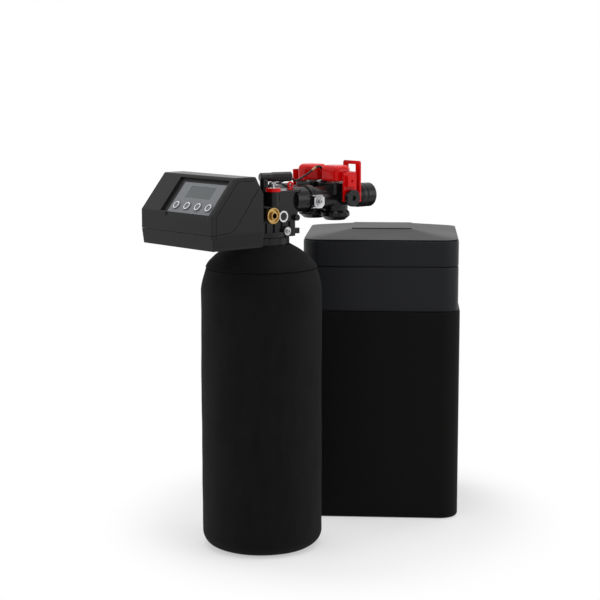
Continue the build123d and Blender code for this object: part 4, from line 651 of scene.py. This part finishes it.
class SOFTENER_OT_jacket(bpy.types.Operator):
    """Sleeve and hood of the neoprene jacket, with their seams"""
    bl_idname = "softener.jacket"
    bl_label = "Jacket"

    def execute(self, context):
        cfg = values(context).jacket
        radius, hem = cfg.radius / MM, cfg.hem / MM
        cloth = knit("jacket_knit", cfg.cloth, cfg.thread)
        angles = jacket_angles()
        low = arc((radius - hem, hem), hem, HEM_START, 0, 16)
        straight = np.stack([np.full(SLEEVE_ROWS, radius),
                             np.linspace(hem + HEM_REST, SLEEVE_TOP, SLEEVE_ROWS)], 1)
        outer = np.concatenate([low, straight, smooth_curve(SHOULDER, 26), SLEEVE_PINCH])
        inner_low = arc((radius - hem, hem), hem - JACKET_THICKNESS, HEM_START, 0, 6)
        inner = np.concatenate([inner_low, SLEEVE_INSIDE])
        sleeve = self.shell("jacket_sleeve", outer, inner, angles, 0.0, cfg.columns)
        hood_outer = np.concatenate([HOOD_PINCH, smooth_curve(HOOD, 44)])
        hood = self.shell("jacket_hood", hood_outer, np.array(HOOD_INSIDE), angles,
                          run_of(outer)[-1], cfg.columns)
        for piece in (sleeve, hood):
            clothe(piece, cloth, "softener")
        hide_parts("tank_jacket")
        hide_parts("tank_jacket")

        turn = ring_angles(220)
        bound = PIPING_PLACE + PIPING_SWAY[0] * np.sin(PIPING_SWAY[1] * turn)
        path = np.stack([bound * np.cos(turn), bound * np.sin(turn),
                         JACKET_SEAM_HEIGHT + PIPING_LIFT[0] * np.sin(PIPING_LIFT[1] * turn)], 1)
        points, faces = tube_along(path, cfg.piping / MM, 10, True)
        piping = mesh_object("jacket_piping", points, faces)
        # The piping cord's colour is a fifth of the thread's: painted shade, so that the cord reads
        # as the dark shadow groove along the seam.
        cord = moulded("piping_cord_painted_shade", lighter(cfg.thread, 0.2))
        clothe(piping, cord, "softener")
        stitches = self.stitches(radius)
        sewn = moulded("stitch_thread", lighter(cfg.thread, 1.6))
        clothe(stitches, sewn, "softener")
        return {"FINISHED"}

    def shell(self, name, outer, inner, angles, start, loops):
        """One closed piece of the jacket; its UV map's rows go on from the given run."""
        points, faces = closed_sleeve(outer, inner, angles)
        piece = mesh_object(name, points, faces[:, ::-1], 60)
        heights = np.concatenate([run_of(outer), run_of(inner)[::-1]]) + start
        knit_map(piece, angles, heights, loops)
        return piece

    def stitches(self, radius):
        """Short slanted threads across the upright seam, each a small tube bent over the ridge."""
        across = np.linspace(-1, 1, 5)
        angle = JACKET_SEAM_ANGLE + across * STITCH_REACH / radius
        parts = []
        for height in np.arange(*STITCH_ROWS):
            reach = radius + RIDGE_HIGH - STITCH_DIVE * across**4 + STITCH_STRAY * np.sin(height)
            path = np.stack([reach * np.cos(angle), reach * np.sin(angle),
                             height + across * STITCH_SLANT], 1)
            parts.append(tube_along(path, STITCH_RADIUS, 5))
        points, faces = gathered(parts)
        return mesh_object("jacket_stitches", points, faces, 60)


# Display head: where the keys stand, and the sloping face's run, rise and foot, in the valve's axes
KEY_PLACES = (-14.5, 14.9, 44.3, 73.7)
KEY_RISE, KEY_SUNK = 16.6, 0.3
SLOPE_RUN, SLOPE_RISE = 51.0, 61.5
SLOPE_FOOT = (-187.0, 61.0)
RING_POINTS, RING_THICK, RING_FLAT = 48, 0.75, 0.25


class SOFTENER_OT_head(bpy.types.Operator):
    """Housing, display film, window and keys"""
    bl_idname = "softener.head"
    bl_label = "Display head"

    def execute(self, context):
        cfg = values(context).housing
        dress(moulded("head_plastic", cfg.shell), "head_cover", "head_base")
        dress(display_film("display_film_print", cfg.film), "display_overlay")
        dress(dark_display("display_panel", cfg.display), "display_window")
        dress(circuit("board_mask"), "circuit_board")
        key_film = display_film("key_film", lighter(cfg.film, 0.98))
        ink = moulded("ring_ink", (0.86, 0.87, 0.88))
        for step in range(len(KEY_PLACES)):
            node = "button_%d" % (step + 1)
            dress(key_film, node)
            clothe(self.key_ring(step, cfg.ring / MM), ink, node)
        return {"FINISHED"}

    def key_ring(self, step, radius):
        """A flat printed ring: a tube round the key's axis, pressed to a quarter of its height."""
        turn = ring_angles(RING_POINTS)
        path = np.stack([radius * np.cos(turn), radius * np.sin(turn), np.zeros(RING_POINTS)], 1)
        points, faces = tube_along(path, RING_THICK, 8, True)
        points[:, 2] *= RING_FLAT
        return mesh_object("key_ring_%d" % (step + 1), on_slope(points, step), faces)


def on_slope(points, step):
    """Carries points of a key's own plane onto the sloping face: right stays right, up runs along
    the slope, and the height stands square on it."""
    length = np.hypot(SLOPE_RUN, SLOPE_RISE)
    up = np.array([0.0, SLOPE_RUN, SLOPE_RISE]) / length
    out = np.array([0.0, -SLOPE_RISE, SLOPE_RUN]) / length
    base = np.array((KEY_PLACES[step],) + SLOPE_FOOT) + up * KEY_RISE - out * KEY_SUNK
    right = np.array([1.0, 0, 0])
    return valve_points(base + points[:, :1] * right + points[:, 1:2] * up + points[:, 2:] * out)


# Valve and bypass, in millimetres in the valve's axes
BARREL_PLACE = (30.0, 150.0)
KNOB_OUTLINE = [(-22.0, -18.0), (22.0, -18.0), (25.0, 10.0), (10.0, 28.0), (-10.0, 28.0),
                (-25.0, 10.0)]
KNOB_CORNER = 9.6
KNOB_EDGE = 9.2
KNOB_FOOT, KNOB_FOOT_EDGE = 101.0, 1.4
KNOB_TOP, KNOB_DOME = 130.0, 0.7
LEAD_RADIUS = 1.7
LEAD_ROUTE = [(22.0, -82.5, 95.2), (22.0, -55.0, 95.2), (23.9, 19.0, 101.0), (24.4, 50.0, 112.2),
              (14.2, 66.5, 101.2), (8.6, 100.0, 113.5), (5.0, 116.0, 119.5)]


def rounded_outline(corners, radius, steps):
    """A polygon with its corners replaced by arcs, and the direction out of it at each point: an
    arc's centre lies on the corner's bisector, the radius over the sine of half the angle away."""
    corners = np.asarray(corners, float)
    before = np.roll(corners, 1, 0) - corners
    after = np.roll(corners, -1, 0) - corners
    before /= np.linalg.norm(before, axis=1, keepdims=True)
    after /= np.linalg.norm(after, axis=1, keepdims=True)
    half = 0.5 * np.arccos(np.sum(before * after, 1))
    middle = before + after
    middle /= np.linalg.norm(middle, axis=1, keepdims=True)
    centre = corners + middle * (radius / np.sin(half))[:, None]
    reach = (radius / np.tan(half))[:, None]
    first = corners + before * reach - centre
    last = corners + after * reach - centre
    start = np.arctan2(first[:, 1], first[:, 0])
    swept = (np.arctan2(last[:, 1], last[:, 0]) - start + pi) % (2 * pi) - pi
    angle = start[:, None] + np.linspace(0, 1, steps)[None, :] * swept[:, None]
    outward = np.stack([np.cos(angle), np.sin(angle)], -1)
    points = centre[:, None, :] + radius * outward
    return points.reshape(-1, 2), outward.reshape(-1, 2)


class SOFTENER_OT_valve(bpy.types.Operator):
    """Valve body, drive, seals and the fittings on the valve's side"""
    bl_idname = "softener.valve"
    bl_label = "Valve"

    def execute(self, context):
        cfg = values(context).valve
        dress(moulded("valve_moulding", cfg.body), "valve_body", "valve_collar", "piston_plug",
              "bypass_body", "barrel_caps", "side_plugs", "port_adapters", "couplers", "lead_gland")
        dress(moulded("elbow_moulding", cfg.body), "drain_elbow")
        red = glossy_red("signal_red", cfg.red)
        dress(red, "injector_ring", "drain_clip", "side_clips", "port_clip_left", "port_clip_right")
        dress(metal("bright_steel", cfg.steel, rough=0.24, tarnish=0.3), "drive_motor",
              "brine_valve_stem", "washer_screws", "retainer_plates")
        dress(ring_plate("plated_ring", cfg.body, cfg.steel), "flow_plug")
        dress(metal("turned_brass", (0.46, 0.29, 0.10), rough=0.26, lines=1500.0, tarnish=0.25),
              "brine_fitting")
        dress(metal("piston_coat", (0.70, 0.56, 0.34), rough=0.3), "piston")
        dress(moulded("seal_rubber", (0.04, 0.04, 0.045)), "seal_stack")
        dress(moulded("ring_rubber", (0.012, 0.012, 0.012)), "seal_rings")
        dress(moulded("gear_acetal", (0.80, 0.79, 0.74)), "main_gear", "idler_gear",
              "motor_pinion", "rotor_left", "rotor_right", "meter_turbine")
        dress(moulded("plate_grey", (0.07, 0.07, 0.075)), "gear_plate")
        dress(boot_rubber("boot_rubber", cfg.body, cfg.tan), "sensor_boot")
        for side, node in ((-1, "left"), (1, "right")):
            knob = self.knob(side, "bypass_knob_" + node)
            clothe(knob, red, "valve_" + node)
            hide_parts("knob_" + node)
        lead = self.lead()
        clothe(lead, moulded("lead_rubber", (0.006, 0.006, 0.006)), "softener")
        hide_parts("sensor_lead")
        return {"FINISHED"}

    def knob(self, side, name):
        """A blunt arrow with soft edges: its outline is moved inwards by one radius less the radius
        times the cosine of the edge's turn while it climbs by the sine, and its top is a shallow
        dome."""
        outline, outward = rounded_outline(KNOB_OUTLINE, KNOB_CORNER, 14)
        foot = np.array(edge_arc(0.0, KNOB_FOOT + KNOB_FOOT_EDGE, KNOB_FOOT_EDGE, -90, 0, 5))
        crest = np.array(edge_arc(0.0, KNOB_TOP - KNOB_DOME - KNOB_EDGE, KNOB_EDGE, 0, 90, 16))
        side_rows = np.stack([np.zeros(4), np.linspace(foot[-1, 1], crest[0, 1], 6)[1:-1]], 1)
        inset, height = np.concatenate([foot, side_rows, crest]).T
        rings = outline[None] - outward[None] * inset[:, None, None]
        middle = rings[-1].mean(0)
        share = np.array([0.8, 0.6, 0.4, 0.2])
        domed = middle + (rings[-1] - middle)[None] * share[:, None, None]
        height = np.concatenate([height, KNOB_TOP - KNOB_DOME * share**2])
        rings = np.concatenate([rings, domed]) * side
        points = np.concatenate([rings + np.array([side * BARREL_PLACE[0], BARREL_PLACE[1]]),
                                 np.broadcast_to(height[:, None, None], rings.shape[:2] + (1,))], 2)
        points, faces = capped_rings(valve_points(points).reshape(points.shape))
        return mesh_object(name, points, faces, 50)

    def lead(self):
        """The sensor's lead, from the head's gland over the valve to the sensor's boot."""
        route = valve_points(LEAD_ROUTE) * MM
        curve = bpy.data.curves.new("sensor_lead_cord", "CURVE")
        curve.dimensions = "3D"
        spline = curve.splines.new("NURBS")
        spline.points.add(len(route) - 1)
        for point, place in zip(spline.points, route):
            point.co = (*place, 1.0)
        spline.order_u = 3
        spline.use_endpoint_u = True
        spline.resolution_u = 12
        curve.bevel_depth = LEAD_RADIUS * MM
        curve.bevel_resolution = 4
        curve.use_fill_caps = True
        piece = bpy.data.objects.new("sensor_lead_cord", curve)
        bpy.context.scene.collection.objects.link(piece)
        return piece


# Tank and its contents
class SOFTENER_OT_tank(bpy.types.Operator):
    """Pressure vessel, foot and what is inside it"""
    bl_idname = "softener.tank"
    bl_label = "Tank"

    def execute(self, context):
        dress(moulded("wound_shell", (0.05, 0.055, 0.065)), "resin_tank")
        dress(moulded("foot_moulding", (0.012, 0.012, 0.012)), "tank_foot")
        dress(moulded("pipe_white", (0.78, 0.78, 0.76)), "riser_tube", "distributors")
        dress(grains("quartz_gravel", (0.42, 0.38, 0.33), dark=(0.16, 0.14, 0.12), scale=260.0,
                     rough=0.7), "gravel_bed")
        dress(grains("resin_beads", (0.50, 0.24, 0.06), dark=(0.24, 0.10, 0.02), scale=900.0,
                     rough=0.3), "resin_bed")
        return {"FINISHED"}


# Brine cabinet, in millimetres: (inset, height) pairs, heights of the rounded edges' middles, and
# the panel's (width, depth, corner, height)
CORNER_STEPS = 12
FOOT_EDGE, RIM_EDGE, COLLAR_EDGE, LID_EDGE = 6.0, 2.5, 1.4, 1.5
BODY_RIM, COLLAR_LOW, COLLAR_RIM, LID_LOW, LID_BRIM = 397.0, 402.0, 481.8, 486.8, 530.7
BODY_ROWS = (40, 120, 220, 320, 385)
BODY_INSIDE = [(6.7, 399.5), (6.7, 396.3), (3.2, 396.3), (3.2, 200), (3.2, 4)]
FACE = 3.5
COLLAR_FOOT = [(5.5, 400.0), (3.9, 400.3)]
COLLAR_INSIDE = [(6.7, 484.3), (6.7, 440), (6.7, 403.7), (10.2, 403.7), (10.2, 388.5), (7.0, 388.5),
                 (7.0, 400.0)]
LID_FOOT = [(7.4, 477.3), (7.0, 485.3), (4.6, 485.3)]
LID_GROOVE = [(8.6, 533.2), (8.6, 535.0), (5.0, 535.5)]
LID_INSIDE = [(10.2, 477.3), (10.2, 493), (6.5, 493), (6.5, 531.5)]
LID_PANEL = [(118.0, 118.0, 3.0, 547.7), (115.0, 115.0, 1.5, 547.7), (115.0, 115.0, 1.5, 548.7),
             (114.4, 114.4, 1.4, 549.0), (60.0, 60.0, 1.0, 549.0)]


def cabinet_ring(width, depth, corner, height):
    """A rounded rectangle round the cabinet's middle at a height."""
    outline = rounded_ring(width, depth, corner, CORNER_STEPS)
    return np.column_stack([outline + CABINET_PLACE, np.full(len(outline), height)])


def stacked(rings):
    """A stack of rounded rectangles from (inset, height) pairs: each is drawn in by the inset, and
    its corner radius shrinks by as much."""
    width, depth = CABINET_SIZE
    corner = values(bpy.context).cabinet.corner / MM
    return np.stack([cabinet_ring(width - 2 * inset, depth - 2 * inset, corner - inset, height)
                     for inset, height in rings])


def closed_rings(points):
    """Faces round a stack of rings whose last ring joins its first."""
    rows, columns = points.shape[:2]
    return points.reshape(-1, 3), grid_faces(rows, columns, True)


def capped_rings(points):
    """Faces round a stack of rings, with a lid of triangles over the first and the last ring."""
    rows, columns = points.shape[:2]
    flat = points.reshape(-1, 3)
    middle, last = len(flat), (rows - 1) * columns
    ring = np.arange(columns)
    beside = (ring + 1) % columns
    low = np.stack([beside, ring, np.full(columns, middle)], 1)
    high = np.stack([last + ring, last + beside, np.full(columns, middle + 1)], 1)
    flat = np.concatenate([flat, [points[0].mean(0), points[-1].mean(0)]])
    return flat, [grid_faces(rows, columns, False), low, high]


def edge_arc(inset, height, radius, start, end, count):
    """Points of a rounded edge, as insets and heights: the inset falls as the cosine grows."""
    angle = np.radians(np.linspace(start, end, count))
    return [(inset + radius - radius * np.cos(a), height + radius * np.sin(a)) for a in angle]


class SOFTENER_OT_cabinet(bpy.types.Operator):
    """Cabinet body, collar and lid, and what is inside them"""
    bl_idname = "softener.cabinet"
    bl_label = "Brine cabinet"

    def execute(self, context):
        cfg = values(context).cabinet
        satin = moulded("collar_moulding", cfg.collar)
        clothe(self.body(), moulded("cabinet_moulding", cfg.body), "softener")
        clothe(self.collar(), satin, "softener")
        clothe(self.lid(), satin, "lid")
        dress(moulded("well_white", (0.66, 0.67, 0.67)), "brine_well", "brine_well_cap",
              "salt_grid", "brine_pickup", "overflow_fitting")
        dress(moulded("float_blue", (0.03, 0.10, 0.30)), "brine_float")
        dress(satin, "cabinet_body", "cabinet_collar", "cabinet_lid")
        return {"FINISHED"}

    def body(self):
        """The body's shell: outside up from the rounded foot, over the shoulder and down inside."""
        outside = edge_arc(0, FOOT_EDGE, FOOT_EDGE, -90, 0, 8)
        outside += [(0, height) for height in BODY_ROWS]
        outside += edge_arc(0, BODY_RIM, RIM_EDGE, 0, 90, 6)
        points, faces = capped_rings(stacked(outside + BODY_INSIDE))
        piece = mesh_object("cabinet_shell", points, faces, 50)
        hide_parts("cabinet_body")
        return piece

    def collar(self):
        """The collar's ring: outside, over its rounded rim, and down inside past the ledge."""
        loop = COLLAR_FOOT + edge_arc(FACE, COLLAR_LOW, COLLAR_EDGE, -60, 0, 4)
        loop += [(FACE, 430), (FACE, 460)] + edge_arc(FACE, COLLAR_RIM, RIM_EDGE, 0, 90, 6)
        points, faces = closed_rings(stacked(loop + COLLAR_INSIDE))
        piece = mesh_object("collar_shell", points, faces, 50)
        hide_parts("cabinet_collar")
        return piece

    def lid(self):
        """The lid's shell: skirt, brim, shadow groove, hipped roof, raised panel, then inside."""
        loop = LID_FOOT + edge_arc(FACE, LID_LOW, LID_EDGE, -70, 0, 4)
        loop += [(FACE, 500), (FACE, 520)] + edge_arc(FACE, LID_BRIM, RIM_EDGE, 0, 88, 7)
        outer = stacked(loop + LID_GROOVE)
        top = np.stack([cabinet_ring(*panel) for panel in LID_PANEL])
        share = np.linspace(0, 1, 12)[1:-1, None, None]
        start = outer[-1] + np.array([0, 0, 0.1])
        slope = start[None] * (1 - share) + top[:1] * share
        points, faces = capped_rings(np.concatenate([stacked(LID_INSIDE)[::-1], outer, slope, top]))
        piece = mesh_object("lid_shell", points, faces, 32)
        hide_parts("cabinet_lid")
        return piece


# Stage, in metres and degrees, but the floor's reach and height and the sensor in millimetres; the
# pool is the part of the floor that takes the shadow
FLOOR_REACH, FLOOR_HEIGHT = 30000.0, -0.3
POOL_MIDDLE, POOL_REACH, POOL_EDGE = (0.126, 0.185), (0.30, 0.36), (0.9, 1.55)
POOL_WHITE = 0.45
CAMERA_PLACE = (0.26216, -2.85261, 0.86467)
CAMERA_DOWN, CAMERA_LEFT = 8.32981, 3.87275
SENSOR_WIDTH = 36.0
# Each light: name, place, turn, width, length, and its share of the key's strength
LIGHTS = (
    ("top_light", (0.1, 0.2, 2.6), (0, 0, 0), 2.6, 2.2, 1.25),
    ("right_light", (2.6, -0.6, 1.2), (0, 82, -12), 1.4, 2.2, 0.62),
    ("left_light", (-2.6, -1.2, 1.3), (0, -80, 20), 1.4, 2.2, 0.35),
)


class SOFTENER_OT_stage(bpy.types.Operator):
    """Floor, lights, world and camera"""
    bl_idname = "softener.stage"
    bl_label = "Stage"

    def execute(self, context):
        cfg = values(context).stage
        self.floor(cfg)
        self.lights(cfg)
        self.world(cfg)
        self.camera(context, cfg)
        context.scene.view_settings.view_transform = "Standard"
        return {"FINISHED"}

    def floor(self, cfg):
        """A wide pale sheet: paper near the part, fading to plain white away from it."""
        finish = Finish("floor_paper")
        seen = finish.in_view()
        paper = finish.add("ShaderNodeBsdfDiffuse", {}, {"Color": tone(cfg.floor)}).out()
        glow = finish.add("ShaderNodeEmission", {}, {"Color": tone(1.0), "Strength": 1.0}).out()
        right, back, _ = finish.axes(finish.place())
        away = (((right - POOL_MIDDLE[0]) / POOL_REACH[0]) ** 2
                + ((back - POOL_MIDDLE[1]) / POOL_REACH[1]) ** 2) ** 0.5
        white = away.step(*POOL_EDGE) * (1 - POOL_WHITE) + POOL_WHITE
        mixed = finish.add("ShaderNodeMixShader", {}, {0: seen * white, 1: paper, 2: glow}).out()
        finish.add("ShaderNodeOutputMaterial", {}, {"Surface": mixed})
        corners = [(across * FLOOR_REACH, along * FLOOR_REACH, FLOOR_HEIGHT)
                   for across, along in ((-1, -1), (1, -1), (1, 1), (-1, 1))]
        floor = mesh_object("floor", corners, np.array([[0, 1, 2, 3]]))
        floor.data.materials.append(finish.material)

    def lights(self, cfg):
        """Three large soft lights: above, right and left."""
        for name, place, turn, wide, long, share in LIGHTS:
            lamp = bpy.data.lights.new(name, "AREA")
            lamp.shape = "RECTANGLE"
            lamp.size, lamp.size_y, lamp.energy = wide, long, cfg.key * share
            holder = bpy.data.objects.new(name, lamp)
            holder.location = place
            holder.rotation_euler = tuple(radians(angle) for angle in turn)
            bpy.context.scene.collection.objects.link(holder)

    def world(self, cfg):
        """Even white light; where it is seen, it is plain white."""
        world = bpy.data.worlds.new("studio_world")
        world.use_nodes = True
        bpy.context.scene.world = world
        finish = Finish("studio", world.node_tree)
        seen = finish.in_view()
        even, white = (finish.add("ShaderNodeBackground", {},
                                  {"Color": tone(1.0), "Strength": strength}).out()
                       for strength in (cfg.world, 1.0))
        mixed = finish.add("ShaderNodeMixShader", {}, {0: seen, 1: even, 2: white}).out()
        finish.add("ShaderNodeOutputWorld", {}, {"Surface": mixed})

    def camera(self, context, cfg):
        """The camera that was fitted to the photo's edges."""
        camera = bpy.data.cameras.new("camera")
        camera.lens, camera.sensor_width = cfg.lens, SENSOR_WIDTH
        holder = bpy.data.objects.new("camera", camera)
        holder.location = CAMERA_PLACE
        holder.rotation_euler = (radians(90 - CAMERA_DOWN), 0, radians(CAMERA_LEFT))
        context.scene.collection.objects.link(holder)
        context.scene.camera = holder


class SOFTENER_PT_panel(bpy.types.Panel):
    """Lists the pieces in the 3D view's sidebar"""
    bl_idname = "SOFTENER_PT_panel"
    bl_label = "Water Softener"
    bl_space_type = "VIEW_3D"
    bl_region_type = "UI"
    bl_category = "Softener"

    def draw(self, context):
        for operator in PIECES:
            self.layout.operator(operator.bl_idname)


PIECES = (SOFTENER_OT_stage, SOFTENER_OT_tank, SOFTENER_OT_jacket, SOFTENER_OT_head,
          SOFTENER_OT_valve, SOFTENER_OT_cabinet)
CLASSES = (JacketValues, HousingValues, ValveValues, CabinetValues, StageValues, SoftenerValues,
           SOFTENER_PT_panel) + PIECES


def register():
    for item in CLASSES:
        bpy.utils.register_class(item)
    bpy.types.Scene.softener_values = PointerProperty(type=SoftenerValues)


def unregister():
    del bpy.types.Scene.softener_values
    for item in reversed(CLASSES):
        bpy.utils.unregister_class(item)


def main():
    register()
    for operator in PIECES:
        group, name = operator.bl_idname.split(".")
        getattr(getattr(bpy.ops, group), name)()


if __name__ == "__main__":
    main()
